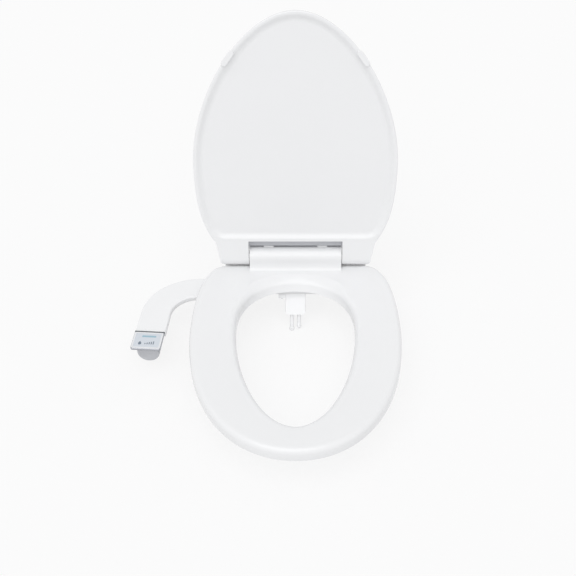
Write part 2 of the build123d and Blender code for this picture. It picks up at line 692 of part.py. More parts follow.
with BuildPart() as mounting_discs:
    with BuildSketch(Plane.XY.offset(PAD_H)):
        with Locations(*BOLT_SPOTS):
            Circle(DISC_R)
            SlotOverall(BOLT_SLOT, 2 * BOLT_R + 2 * DROP_IN, mode=Mode.SUBTRACT)
    extrude(amount=PLATE_TOP - PAD_H)

# Plate and arm
with BuildPart() as bidet_body:
    with BuildSketch(Plane.XY.offset(COVER_TOP)):
        add(body_face(0))
    extrude(amount=PLATE_TOP - COVER_TOP)
    fillet(bidet_body.edges().group_by(Axis.Z)[-1], radius=ARM_EDGE_R)
    with BuildSketch(Plane.XY.offset(COVER_TOP)):
        add(body_face(SHELL_WALL))
        with Locations(*BOLT_SPOTS):
            Circle(DISC_R + DROP_IN + DISC_RIM, mode=Mode.SUBTRACT)
        with Locations(*SCREW_SPOTS):
            Circle(BOSS_R, mode=Mode.SUBTRACT)
    extrude(amount=SHELL_CEILING - COVER_TOP, mode=Mode.SUBTRACT)
    with BuildSketch(Plane.XY.offset(COVER_TOP)):
        with Locations(*BOLT_SPOTS):
            Circle(DISC_R + DROP_IN)
    extrude(amount=PLATE_TOP, mode=Mode.SUBTRACT)
    with BuildSketch(Plane.XY.offset(COVER_TOP)):
        with Locations(*SCREW_SPOTS):
            Circle(SCREW_R)
    extrude(amount=SHELL_CEILING - COVER_TOP - SCREW_TIP_SKIN, mode=Mode.SUBTRACT)

with BuildPart() as bidet_bottom_cover:
    with BuildSketch(Plane.XY.offset(PAD_H)):
        add(body_face(0))
        with Locations(*BOLT_SPOTS):
            Circle(DISC_R + DROP_IN, mode=Mode.SUBTRACT)
        with Locations(*SCREW_SPOTS):
            Circle(SCREW_R + DROP_IN, mode=Mode.SUBTRACT)
        with Locations(*SPIGOT_SPOTS):
            Circle(SPIGOT_R + DROP_IN, mode=Mode.SUBTRACT)
    extrude(amount=COVER_T)
    with BuildSketch(HEAD.offset(PAD_H)):
        with Locations((0, OUTLET_START - DROP_IN)):
            slot_width = OUTLET_WIDTH + 2 * DROP_IN
            slot_length = OUTLET_LENGTH + 2 * DROP_IN
            Rectangle(slot_width, slot_length, align=(Align.CENTER, Align.MIN))
    extrude(amount=COVER_T, mode=Mode.SUBTRACT)
    with BuildSketch(Plane.XY.offset(PAD_H)):
        with Locations(*SCREW_SPOTS):
            Circle(SCREW_HEAD_R + DROP_IN)
    extrude(amount=SCREW_HEAD_H, mode=Mode.SUBTRACT)

with BuildPart() as cover_screws:
    with BuildSketch(Plane.XY.offset(PAD_H)):
        with Locations(*SCREW_SPOTS):
            Circle(SCREW_HEAD_R)
    extrude(amount=SCREW_HEAD_H)
    with BuildSketch(Plane.XY.offset(PAD_H + SCREW_HEAD_H)):
        with Locations(*SCREW_SPOTS):
            Circle(SCREW_R)
    extrude(amount=SHELL_CEILING - COVER_TOP)

with BuildPart() as grip_pads:
    with BuildSketch(Plane.XY):
        with Locations(*PAD_SPOTS):
            RectangleRounded(*PAD_SIZE, PAD_CORNER)
    extrude(amount=PAD_H)

# Control head
with BuildPart() as head_gasket:
    with BuildSketch(HEAD.offset(PAD_H)):
        Rectangle(ARM_WIDTH - 2 * GASKET_INSET, GASKET_T, align=(Align.CENTER, Align.MAX))
    extrude(amount=PLATE_TOP + GASKET_PROUD - PAD_H)

with BuildPart() as control_hood:
    with BuildSketch(HEAD.offset(HOOD_UNDER)):
        with Locations((0, -GASKET_T)):
            Rectangle(HOOD_WIDTH, HOOD_LENGTH, align=(Align.CENTER, Align.MAX))
    extrude(amount=HOOD_T)
    upright_edges = control_hood.edges().filter_by(Axis.Z)
    tip_edges = upright_edges.sort_by(lambda e: (e.center() - ARM_END).dot(HEADING))[-2:]
    fillet(tip_edges, radius=HOOD_CORNER)
    fillet(control_hood.edges().group_by(Axis.Z)[-1], radius=HOOD_EDGE_R)

with BuildPart() as label_bezel:
    with BuildSketch(HEAD.offset(HOOD_TOP)):
        with Locations((0, HOOD_MIDDLE)):
            RectangleRounded(*BEZEL_SIZE, HOOD_CORNER - BEZEL_BORDER)
            Rectangle(*LABEL_SIZE, mode=Mode.SUBTRACT)
    extrude(amount=BEZEL_H)

with BuildPart() as label_plate:
    with BuildSketch(HEAD.offset(HOOD_TOP)):
        with Locations((0, HOOD_MIDDLE)):
            Rectangle(*LABEL_SIZE)
    extrude(amount=LABEL_T)

with BuildPart() as valve_housing:
    with BuildSketch(KNOB_PLANE.offset(-VALVE_TAIL)):
        Circle(VALVE_R)
    extrude(amount=VALVE_TAIL + VALVE_FRONT)
    with BuildSketch(HEAD.offset(KNOB_Z)):
        with Locations((0, -GASKET_T - DROP_IN)):
            Rectangle(SADDLE_WIDTH, VALVE_TAIL + GASKET_T + DROP_IN, align=(Align.CENTER, Align.MIN))
    extrude(amount=PAD_H - KNOB_Z)
    with BuildSketch(HEAD.offset(KNOB_Z)):
        with Locations((0, -GASKET_T - DROP_IN)):
            Rectangle(SADDLE_WIDTH, VALVE_FRONT - GASKET_T - DROP_IN, align=(Align.CENTER, Align.MAX))
    extrude(amount=HOOD_UNDER - KNOB_Z)
    with BuildSketch(HEAD.offset(PAD_H)):
        with Locations((0, OUTLET_START)):
            Rectangle(OUTLET_WIDTH, OUTLET_LENGTH, align=(Align.CENTER, Align.MIN))
    extrude(amount=SHELL_CEILING - PAD_H - OUTLET_ROOF_GAP)
    barb_plane = Plane(
        origin=HEAD.from_local_coords(Vector(0, OUTLET_START + OUTLET_LENGTH, TUBE_Z)),
        x_dir=HEAD.x_dir,
        z_dir=-HEADING,
    )
    with BuildSketch(barb_plane):
        with Locations((-TUBE_SPACING / 2, 0), (TUBE_SPACING / 2, 0)):
            Circle(TUBE_BORE_R - RUN_GAP)
    extrude(amount=BARB_LENGTH)
    with BuildSketch(KNOB_PLANE.offset(-VALVE_FLOOR)):
        Circle(VALVE_BORE_R)
    extrude(amount=VALVE_FLOOR + VALVE_FRONT, mode=Mode.SUBTRACT)
    with BuildSketch(HEAD.offset(KNOB_Z - VALVE_R)):
        with Locations((0, INLET_BACK)):
            Circle(INLET_SPIGOT_R)
    extrude(amount=VALVE_R, mode=Mode.SUBTRACT)

with BuildPart() as valve_bonnet:
    with BuildSketch(KNOB_PLANE.offset(VALVE_FRONT)):
        Circle(VALVE_BORE_R)
        Circle(STEM_R + SLIDE_GAP, mode=Mode.SUBTRACT)
    extrude(amount=-VALVE_FRONT / 2)

with BuildPart() as stem_seal:
    with BuildSketch(KNOB_PLANE.offset(VALVE_FRONT / 2)):
        Circle(VALVE_BORE_R)
        Circle(STEM_R + SLIDE_GAP, mode=Mode.SUBTRACT)
    extrude(amount=-SEAL_T)

with BuildPart() as fixed_valve_disc:
    with BuildSketch(KNOB_PLANE.offset(-VALVE_FLOOR)):
        Circle(VALVE_BORE_R)
        with Locations((-PORT_SPREAD, 0), (PORT_SPREAD, 0)):
            Circle(PORT_R, mode=Mode.SUBTRACT)
    extrude(amount=DISC_T)

with BuildPart() as turning_valve_disc:
    with BuildSketch(KNOB_PLANE.offset(-VALVE_FLOOR + DISC_T + RUN_GAP)):
        Circle(VALVE_BORE_R - SLIDE_GAP)
        with Locations((0, PORT_SPREAD)):
            Circle(PORT_R, mode=Mode.SUBTRACT)
    extrude(amount=DISC_T)

with BuildPart() as valve_stem:
    disc_front = -VALVE_FLOOR + 2 * DISC_T + RUN_GAP
    with BuildSketch(KNOB_PLANE.offset(disc_front)):
        Circle(STEM_R)
    extrude(amount=KNOB_FACE - KNOB_WALL - disc_front)
    with BuildSketch(KNOB_PLANE.offset(disc_front)):
        Circle(VALVE_BORE_R - SLIDE_GAP)
    extrude(amount=FLANGE_T)

with BuildPart() as knob:
    with BuildSketch(KNOB_PLANE.offset(KNOB_BACK)):
        Circle(KNOB_R)
    extrude(amount=KNOB_T)
    front_rim = knob.edges().sort_by(lambda e: (e.center() - ARM_END).dot(HEADING))[-1]
    fillet(front_rim, radius=KNOB_EDGE_R)
    with BuildSketch(KNOB_PLANE.offset(KNOB_BACK)):
        Circle(KNOB_R - KNOB_WALL)
        Circle(KNOB_HUB_R, mode=Mode.SUBTRACT)
    extrude(amount=KNOB_T - KNOB_FRONT_WALL, mode=Mode.SUBTRACT)
    with BuildSketch(KNOB_PLANE.offset(KNOB_BACK)):
        Circle(STEM_R)
    extrude(amount=KNOB_T - KNOB_WALL, mode=Mode.SUBTRACT)

with BuildPart() as inlet_nipple:
    with BuildSketch(HEAD.offset(KNOB_Z - VALVE_R)):
        with Locations((0, INLET_BACK)):
            Circle(INLET_SPIGOT_R)
    extrude(amount=VALVE_R)
    with BuildSketch(HEAD.offset(KNOB_Z - VALVE_R)):
        with Locations((0, INLET_BACK)):
            RegularPolygon(INLET_COLLAR_R, 6)
    extrude(amount=-INLET_COLLAR_T)
    with BuildSketch(HEAD.offset(KNOB_Z - VALVE_R - INLET_COLLAR_T)):
        with Locations((0, INLET_BACK)):
            Circle(INLET_R)
    extrude(amount=-INLET_LENGTH)
    with BuildSketch(HEAD.offset(KNOB_Z)):
        with Locations((0, INLET_BACK)):
            Circle(INLET_BORE_R)
    extrude(amount=-VALVE_R - INLET_COLLAR_T - INLET_LENGTH, mode=Mode.SUBTRACT)

with BuildPart() as inlet_filter:
    with BuildSketch(HEAD.offset(KNOB_Z - VALVE_R - INLET_COLLAR_T)):
        with Locations((0, INLET_BACK)):
            Circle(INLET_BORE_R)
    extrude(amount=FILTER_T)

# Water tubes from the valve to the nozzle unit
with BuildPart() as rear_wash_tube:
    start, radius = tube_path(-TUBE_SPACING / 2)
    with BuildLine():
        turn = CenterArc((BEND_X, BEND_Y, TUBE_Z), radius, 90 + BEND_TURN, -BEND_TURN)
        Line((start.X, start.Y, TUBE_Z), turn @ 0)
        Line(turn @ 1, (-MANIFOLD_WIDTH / 2, BEND_Y + radius, TUBE_Z))
    with BuildSketch(Plane(origin=(start.X, start.Y, TUBE_Z), x_dir=HEAD.x_dir, z_dir=-HEADING)):
        Circle(TUBE_R)
        Circle(TUBE_BORE_R, mode=Mode.SUBTRACT)
    sweep()

with BuildPart() as front_wash_tube:
    start, radius = tube_path(TUBE_SPACING / 2)
    with BuildLine():
        turn = CenterArc((BEND_X, BEND_Y, TUBE_Z), radius, 90 + BEND_TURN, -BEND_TURN)
        Line((start.X, start.Y, TUBE_Z), turn @ 0)
        Line(turn @ 1, (-MANIFOLD_WIDTH / 2, BEND_Y + radius, TUBE_Z))
    with BuildSketch(Plane(origin=(start.X, start.Y, TUBE_Z), x_dir=HEAD.x_dir, z_dir=-HEADING)):
        Circle(TUBE_R)
        Circle(TUBE_BORE_R, mode=Mode.SUBTRACT)
    sweep()

with BuildPart() as nozzle_manifold:
    with BuildSketch(Plane.XY.offset(COVER_TOP)):
        with Locations((0, PLATE_FRONT + SHELL_WALL)):
            Rectangle(MANIFOLD_WIDTH, MANIFOLD_DEPTH, align=(Align.CENTER, Align.MIN))
    extrude(amount=SHELL_CEILING - COVER_TOP)
    barb_root = (-MANIFOLD_WIDTH / 2, ARM_Y, TUBE_Z)
    with BuildSketch(Plane(origin=barb_root, x_dir=(0, 1, 0), z_dir=(-1, 0, 0))):
        with Locations((-TUBE_SPACING / 2, 0), (TUBE_SPACING / 2, 0)):
            Circle(TUBE_BORE_R - RUN_GAP)
    extrude(amount=BARB_LENGTH)
    with BuildSketch(Plane.XY.offset(COVER_TOP)):
        with Locations(*SPIGOT_SPOTS):
            Circle(SPIGOT_R)
    extrude(amount=-COVER_T)

# Nozzle unit under the plate's front edge
with BuildPart() as nozzle_housing:
    with BuildSketch(NOZZLE_PLANE.offset(END_CAP_T)):
        with Locations((0, -HOUSING_FRONT)):
            Rectangle(HOUSING_WIDTH, HOUSING_FRONT + HOUSING_BACK, align=(Align.CENTER, Align.MIN))
    extrude(amount=2 * HOUSING_LENGTH)
    with BuildSketch(NOZZLE_PLANE.offset(HOUSING_LENGTH - EAR_H)):
        with Locations((-HOUSING_WIDTH / 2, -HOUSING_FRONT + EAR_SET)):
            Rectangle(EAR_WIDTH, EAR_T, align=(Align.MAX, Align.MIN))
    extrude(amount=2 * EAR_H)
    split(bisect_by=Plane.XY.offset(PAD_H), keep=Keep.BOTTOM)
    long_edges = nozzle_housing.edges().filter_by(Axis(NOZZLE_FOOT, NOZZLE_UP)).filter_by(
        lambda e: abs(abs(e.center().X) - HOUSING_WIDTH / 2) < TOUCH and e.length > HOUSING_LENGTH / 2
    )
    fillet(long_edges, radius=HOUSING_EDGE_R)
    with BuildSketch(NOZZLE_PLANE.offset(END_CAP_T)):
        with Locations((-WAND_SPACING / 2, 0), (WAND_SPACING / 2, 0)):
            Circle(CYLINDER_R)
    extrude(amount=CYLINDER_DEPTH - END_CAP_T, mode=Mode.SUBTRACT)
    with BuildSketch(Plane.XY.offset(PAD_H)):
        with Locations(*SPIGOT_SPOTS):
            Circle(SPIGOT_BORE_R)
    extrude(amount=-SPIGOT_BORE_DEPTH, mode=Mode.SUBTRACT)

with BuildPart() as nozzle_end_cap:
    with BuildSketch(NOZZLE_PLANE):
        with Locations((0, -HOUSING_FRONT)):
            Rectangle(HOUSING_WIDTH, HOUSING_FRONT + HOUSING_BACK, align=(Align.CENTER, Align.MIN))
    extrude(amount=END_CAP_T)
    foot = nozzle_end_cap.faces().sort_by(Axis(NOZZLE_FOOT, NOZZLE_UP))[0]
    side_edges = foot.edges().filter_by(lambda e: abs(e.center().X) > WAND_R)
    chamfer(side_edges, length=END_CAP_CHAMFER)
    with BuildSketch(NOZZLE_PLANE):
        with Locations((-WAND_SPACING / 2, 0), (WAND_SPACING / 2, 0)):
            Circle(WAND_R + SLIDE_GAP)
    extrude(amount=END_CAP_T, mode=Mode.SUBTRACT)

with BuildPart() as housing_screw:
    with BuildSketch(NOZZLE_PLANE.offset(HOUSING_LENGTH - EAR_H)):
        with Locations((-HOUSING_WIDTH / 2 - EAR_WIDTH / 2, -HOUSING_FRONT + EAR_SET + EAR_T / 2)):
            Circle(EAR_SCREW_R)
    extrude(amount=-SCREW_HEAD_H)

with BuildPart() as rear_nozzle:
    with BuildSketch(NOZZLE_PLANE.offset(-REAR_WAND_OUT + REAR_TIP_R)):
        with Locations((-WAND_SPACING / 2, 0)):
            Circle(WAND_R)
    extrude(amount=REAR_WAND_OUT - REAR_TIP_R + PISTON_TOP)
    with BuildSketch(NOZZLE_PLANE.offset(PISTON_TOP - PISTON_T)):
        with Locations((-WAND_SPACING / 2, 0)):
            Circle(PISTON_R)
    extrude(amount=PISTON_T)
    tip_centre = Vector(-WAND_SPACING / 2, 0, -REAR_WAND_OUT + REAR_TIP_R)
    with Locations(NOZZLE_PLANE.from_local_coords(tip_centre)):
        Sphere(REAR_TIP_R)
    with BuildSketch(NOZZLE_PLANE.offset(PISTON_TOP - PISTON_T / 2 - RING_R)):
        with Locations((-WAND_SPACING / 2, 0)):
            Circle(CYLINDER_R)
            Circle(PISTON_R - 2 * RING_R + RUN_GAP, mode=Mode.SUBTRACT)
    extrude(amount=2 * RING_R, mode=Mode.SUBTRACT)
    with BuildSketch(NOZZLE_PLANE.offset(-REAR_WAND_OUT + REAR_TIP_R)):
        with Locations((-WAND_SPACING / 2, 0)):
            Circle(WAND_BORE_R)
    extrude(amount=REAR_WAND_OUT + PISTON_TOP, mode=Mode.SUBTRACT)

with BuildPart() as front_nozzle:
    rise = REAR_WAND_OUT - FRONT_WAND_OUT
    with BuildSketch(NOZZLE_PLANE.offset(-FRONT_WAND_OUT + FRONT_TIP_R)):
        with Locations((WAND_SPACING / 2, 0)):
            Circle(WAND_R)
    extrude(amount=FRONT_WAND_OUT - FRONT_TIP_R + PISTON_TOP + rise)
    with BuildSketch(NOZZLE_PLANE.offset(PISTON_TOP + rise - PISTON_T)):
        with Locations((WAND_SPACING / 2, 0)):
            Circle(PISTON_R)
    extrude(amount=PISTON_T)
    tip_centre = Vector(WAND_SPACING / 2, 0, -FRONT_WAND_OUT + FRONT_TIP_R)
    with Locations(NOZZLE_PLANE.from_local_coords(tip_centre)):
        Sphere(FRONT_TIP_R)
    with BuildSketch(NOZZLE_PLANE.offset(PISTON_TOP + rise - PISTON_T / 2 - RING_R)):
        with Locations((WAND_SPACING / 2, 0)):
            Circle(CYLINDER_R)
            Circle(PISTON_R - 2 * RING_R + RUN_GAP, mode=Mode.SUBTRACT)
    extrude(amount=2 * RING_R, mode=Mode.SUBTRACT)
    with BuildSketch(NOZZLE_PLANE.offset(-FRONT_WAND_OUT + FRONT_TIP_R)):
        with Locations((WAND_SPACING / 2, 0)):
            Circle(WAND_BORE_R)
    extrude(amount=FRONT_WAND_OUT + PISTON_TOP + rise, mode=Mode.SUBTRACT)

with BuildPart() as rear_nozzle_seal:
    centre = NOZZLE_PLANE.from_local_coords(Vector(-WAND_SPACING / 2, 0, PISTON_TOP - PISTON_T / 2))
    with BuildSketch(Plane(origin=centre, x_dir=(1, 0, 0), z_dir=NOZZLE_PLANE.y_dir)):
        with Locations((SEAL_R, 0)):
            Circle(RING_R)
    revolve(axis=Axis(centre, NOZZLE_UP))

with BuildPart() as front_nozzle_seal:
    centre = NOZZLE_PLANE.from_local_coords(Vector(WAND_SPACING / 2, 0, PISTON_TOP + rise - PISTON_T / 2))
    with BuildSketch(Plane(origin=centre, x_dir=(1, 0, 0), z_dir=NOZZLE_PLANE.y_dir)):
        with Locations((SEAL_R, 0)):
            Circle(RING_R)
    revolve(axis=Axis(centre, NOZZLE_UP))

with BuildPart() as rear_nozzle_spring:
    height = PISTON_TOP - PISTON_T - END_CAP_T - 2 * SPRING_WIRE_R
    foot = NOZZLE_PLANE.from_local_coords(Vector(-WAND_SPACING / 2, 0, END_CAP_T + SPRING_WIRE_R))
    with BuildLine():
        coil = Helix(height / SPRING_TURNS, height, SPRING_R, center=foot, direction=NOZZLE_UP)
    with BuildSketch(Plane(origin=coil @ 0, z_dir=coil % 0)):
        Circle(SPRING_WIRE_R)
    sweep(is_frenet=True)

with BuildPart() as front_nozzle_spring:
    height = PISTON_TOP + rise - PISTON_T - END_CAP_T - 2 * SPRING_WIRE_R
    foot = NOZZLE_PLANE.from_local_coords(Vector(WAND_SPACING / 2, 0, END_CAP_T + SPRING_WIRE_R))
    with BuildLine():
        coil = Helix(height / SPRING_TURNS, height, SPRING_R, center=foot, direction=NOZZLE_UP)
    with BuildSketch(Plane(origin=coil @ 0, z_dir=coil % 0)):
        Circle(SPRING_WIRE_R)
    sweep(is_frenet=True)

pieces = {
    "seat_shell": seat_shell,
    "seat_hinge_cover": seat_hinge_cover,
    "seat_base": seat_base,
    "seat_bumpers": seat_bumpers,
    "seat_damper_shaft": seat_damper_shaft,
    "lid_shell": lid_shell,
    "lid_hinge_shield": lid_hinge_shield,
    "lid_bumpers": lid_bumpers,
    "lid_damper_shaft": lid_damper_shaft,
    "hinge_posts": hinge_posts,
    "hinge_wings": hinge_wings,
    "hinge_pin": hinge_pin,
    "seat_damper": seat_damper,
    "lid_damper": lid_damper,
    "mounting_bolts": mounting_bolts,
    "top_nuts": top_nuts,
    "expansion_sleeves": expansion_sleeves,
    "cone_nuts": cone_nuts,
    "mounting_discs": mounting_discs,
    "bidet_body": bidet_body,
    "bidet_bottom_cover": bidet_bottom_cover,
    "cover_screws": cover_screws,
    "grip_pads": grip_pads,
    "head_gasket": head_gasket,
    "control_hood": control_hood,
    "label_bezel": label_bezel,
    "label_plate": label_plate,
    "valve_housing": valve_housing,
    "valve_bonnet": valve_bonnet,
    "stem_seal": stem_seal,
    "fixed_valve_disc": fixed_valve_disc,
    "turning_valve_disc": turning_valve_disc,
    "valve_stem": valve_stem,
    "knob": knob,
    "inlet_nipple": inlet_nipple,
    "inlet_filter": inlet_filter,
    "rear_wash_tube": rear_wash_tube,
    "front_wash_tube": front_wash_tube,
    "nozzle_manifold": nozzle_manifold,
    "nozzle_housing": nozzle_housing,
    "nozzle_end_cap": nozzle_end_cap,
    "housing_screw": housing_screw,
    "rear_nozzle": rear_nozzle,
    "front_nozzle": front_nozzle,
    "rear_nozzle_seal": rear_nozzle_seal,
    "front_nozzle_seal": front_nozzle_seal,
    "rear_nozzle_spring": rear_nozzle_spring,
    "front_nozzle_spring": front_nozzle_spring,
}

os.makedirs("parts", exist_ok=True)
for name, piece in pieces.items():
    piece.part.label = name
    export_step(piece.part, f"parts/{name}.step")
    box = piece.part.bounding_box()
    print(name, len(piece.part.solids()), round(piece.part.volume), box.min, box.max)
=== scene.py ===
"""Visible pieces and finishes of a water-pressure bidet seat, built round its CAD frame. Metres."""

import json
from math import atan2, cos, pi, radians, sin, tau

import bmesh
import bpy
from bpy.props import FloatProperty, FloatVectorProperty, IntProperty, PointerProperty
from mathutils import Matrix, Vector
from mathutils.geometry import interpolate_bezier


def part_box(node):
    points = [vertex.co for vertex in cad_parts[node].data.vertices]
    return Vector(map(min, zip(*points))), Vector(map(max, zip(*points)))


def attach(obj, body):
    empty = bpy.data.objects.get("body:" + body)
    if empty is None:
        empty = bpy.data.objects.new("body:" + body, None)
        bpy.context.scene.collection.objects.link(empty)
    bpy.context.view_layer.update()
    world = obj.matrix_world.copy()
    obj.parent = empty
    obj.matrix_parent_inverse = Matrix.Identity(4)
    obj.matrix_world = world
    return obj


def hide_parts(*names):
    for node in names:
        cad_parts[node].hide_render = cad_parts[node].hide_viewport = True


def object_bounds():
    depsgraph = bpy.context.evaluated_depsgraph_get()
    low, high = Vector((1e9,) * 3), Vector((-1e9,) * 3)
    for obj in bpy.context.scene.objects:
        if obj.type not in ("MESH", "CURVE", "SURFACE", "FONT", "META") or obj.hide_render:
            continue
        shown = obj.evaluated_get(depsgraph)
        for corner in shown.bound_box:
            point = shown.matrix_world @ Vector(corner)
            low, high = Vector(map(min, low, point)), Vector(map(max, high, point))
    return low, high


bl_info = {
    "name": "Bidet seat",
    "version": (1, 0, 0),
    "blender": (4, 5, 0),
    "location": "View3D > Sidebar > Bidet seat",
    "description": "Builds the visible pieces and finishes of a bidet seat round its CAD frame",
    "category": "Add Mesh",
}

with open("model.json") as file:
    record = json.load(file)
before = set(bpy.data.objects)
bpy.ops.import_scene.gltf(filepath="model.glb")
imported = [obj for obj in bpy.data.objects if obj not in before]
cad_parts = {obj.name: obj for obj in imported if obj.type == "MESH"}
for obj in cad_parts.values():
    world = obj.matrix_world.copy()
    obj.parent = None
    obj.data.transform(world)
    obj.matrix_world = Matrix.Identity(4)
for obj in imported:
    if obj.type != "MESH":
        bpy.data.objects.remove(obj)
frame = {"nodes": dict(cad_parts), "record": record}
CAD_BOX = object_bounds()
NODES = frame["nodes"]
SLOT_OF_NODE = {part["node"]: part["material_slot"] for part in frame["record"]["subparts"]}
JOINTS = {joint["name"]: joint for joint in frame["record"]["behaviour"]["joints"]}
SEAT_LOW, SEAT_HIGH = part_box("seat_shell")
COVER_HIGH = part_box("seat_hinge_cover")[1]
HEADING = Vector(JOINTS["knob_turn"]["axis"])
KNOB_CENTRE = Vector(JOINTS["knob_turn"]["pos_m"])
WAND_AXIS = Vector(JOINTS["rear_wand_slide"]["axis"])
FINISH_TAIL = "_finish"


def length(name, description, default):
    """Property for a length in metres."""
    return FloatProperty(name=name, description=description, default=default, unit="LENGTH")


def colour(name, description, default):
    """Property for a colour."""
    return FloatVectorProperty(name=name, description=description, default=default, subtype="COLOR")


def angle(name, description, default):
    """Property for an angle."""
    return FloatProperty(name=name, description=description, default=default, subtype="ANGLE")


class SeatSizes(bpy.types.PropertyGroup):
    """Sizes of the seat ring"""

    hole_half: length("Hole half width", "From the middle to the hole's side", 0.104)
    hole_rear: length("Hole rear", "From the hinge axis forward to the hole's top edge", 0.049)
    hole_rear_low: length(
        "Hole rear below", "From the hinge axis forward to the hole's lower edge", 0.058
    )
    hole_tip: length("Hole tip", "From the hinge axis to the hole's front", 0.404)
    hole_wide: length("Hole widest", "From the hinge axis to the widest place of the hole", 0.168)
    seat_wide: length("Seat widest", "From the hinge axis to the widest place of the seat", 0.175)
    rear_flat: length("Rear flat", "Half the straight length of the rear edge", 0.132)
    inner_roll: length("Inner roll", "Width of the rounded edge at the hole's sides", 0.011)
    scoop_width: length("Scoop width", "Width of the scoop behind the hole, in the middle", 0.015)
    scoop_corner: length("Scoop corner", "Width of the scoop at its corners", 0.0205)
    scoop_corner_x: length("Scoop corner place", "From the middle to the scoop's corners", 0.054)
    scoop_fall: length("Scoop fall", "How far the scoop falls to the edge of the hole", 0.0066)
    scoop_full: length("Scoop full", "From the hinge axis to where the scoop is complete", 0.068)
    scoop_end: length("Scoop end", "From the hinge axis to where the scoop has run out", 0.104)
    outer_roll: length("Outer roll", "Radius of the seat's outer top edge", 0.009)
    hidden_roll: length("Hidden roll", "Radius of the top edge under the hinge cover", 0.002)
    foot_roll: length("Foot roll", "Radius of the seat's outer lower edge", 0.0025)
    wall: length("Wall", "Width of the rims round the base plate", 0.005)
    base_recess: length("Base recess", "Depth of the recess for the base plate", 0.0026)
    sag: length("Sag", "How far the deck falls towards the hole", 0.0008)
    toe_step: length("Toe step", "Step from the deck up to the hinge cover's toe", 0.00015)
    post_line: length("Post line", "From the hinge axis to the deck's edge at the posts", 0.0132)
    samples: IntProperty(
        name="Samples", description="Points along half of the outline", default=160, min=24,
    )


class HeadSizes(bpy.types.PropertyGroup):
    """Sizes of the knob, the gasket and the printed marks on the control head"""

    knob_radius: length("Knob radius", "Outer radius of the knob", 0.020)
    knob_front: length("Knob front", "From the arm's end to the knob's face", 0.0314)
    knob_depth: length("Knob depth", "From the knob's back to its face", 0.013)
    knob_wall: length("Knob wall", "Wall of the knob's rim", 0.003)
    knob_cap: length("Knob cap", "Thickness behind the knob's face", 0.004)
    knob_hub: length("Knob hub", "Radius of the hub on the stem", 0.007)
    stem: length("Stem", "Radius of the valve stem", 0.004)
    flutes: IntProperty(
        name="Flutes", description="Grip flutes round the knob", default=30, min=3,
    )
    flute_depth: length("Flute depth", "Depth of a grip flute", 0.0006)
    label_middle: length("Label middle", "From the arm's end to the label's middle", 0.0252)
    mark_height: length("Mark height", "Thickness of the printed marks", 0.00012)
    gasket_width: length("Gasket width", "Length of the gasket across the arm", 0.053)
    gasket_depth: length("Gasket depth", "From the arm's end to the hood", 0.004)
    gasket_lip: length("Gasket lip", "Height of the gasket's lip over its foot", 0.0033)
    gasket_rise: length(
        "Gasket rise", "How far the squeezed lip bulges up between arm and hood", 0.0012
    )
    gasket_set_in: length("Gasket set in", "How far the foot stays back from the sides", 0.006)


class FittingSizes(bpy.types.PropertyGroup):
    """Sizes of the wands, the inlet, the anchors and the screws"""

    wand_radius: length("Wand radius", "Radius of a wash wand", 0.0037)
    wand_groove: length("Wand groove", "Depth of the grooves on a wand", 0.0004)
    rear_tip: length("Rear tip", "Radius of the rear wand's ball tip", 0.0049)
    front_tip: length("Front tip", "Radius of the front wand's ball tip", 0.0043)
    rear_length: length("Rear length", "From the rear tip's centre to the piston's end", 0.0451)
    front_length: length("Front length", "From the front tip's centre to the piston's end", 0.0457)
    piston: length("Piston radius", "Radius of a wand's piston", 0.0046)
    piston_depth: length("Piston depth", "Length of a wand's piston", 0.004)
    ring: length("Ring", "Radius of the seal ring's wire", 0.00075)
    spray: length("Spray hole", "Radius of a spray hole", 0.0006)
    inlet_thread: length("Inlet thread", "Crest radius of the inlet thread", 0.01048)
    inlet_pitch: length("Inlet pitch", "Pitch of the inlet thread", 0.001814)
    inlet_depth: length("Thread depth", "Depth of the inlet thread", 0.0011)
    inlet_length: length("Inlet length", "Length of the inlet thread", 0.012)
    inlet_bore: length("Inlet bore", "Radius of the water way", 0.005)
    collar_radius: length("Collar", "Corner radius of the inlet's hexagon", 0.013)
    collar_depth: length("Collar depth", "Thickness of the inlet's hexagon", 0.003)
    spigot: length("Spigot", "Radius of the inlet inside the valve", 0.007)
    bolt: length("Bolt", "Radius of the mounting bolts", 0.004)
    sleeve: length("Sleeve", "Radius of the rubber sleeves", 0.0066)
    sleeve_ribs: IntProperty(
        name="Sleeve ribs", description="Ribs on a rubber sleeve", default=5, min=1,
    )
    rib_depth: length("Rib depth", "Depth between the sleeve's ribs", 0.0007)
    screw_head: length("Screw head", "Radius of a cover screw's head", 0.0026)
    screw_depth: length("Screw head depth", "Height of a screw's head", 0.001)
    screw_shank: length("Screw shank", "Radius of a cover screw's shank", 0.0013)
    ear_screw: length("Ear screw", "Radius of the screw head on the nozzle's ear", 0.0019)


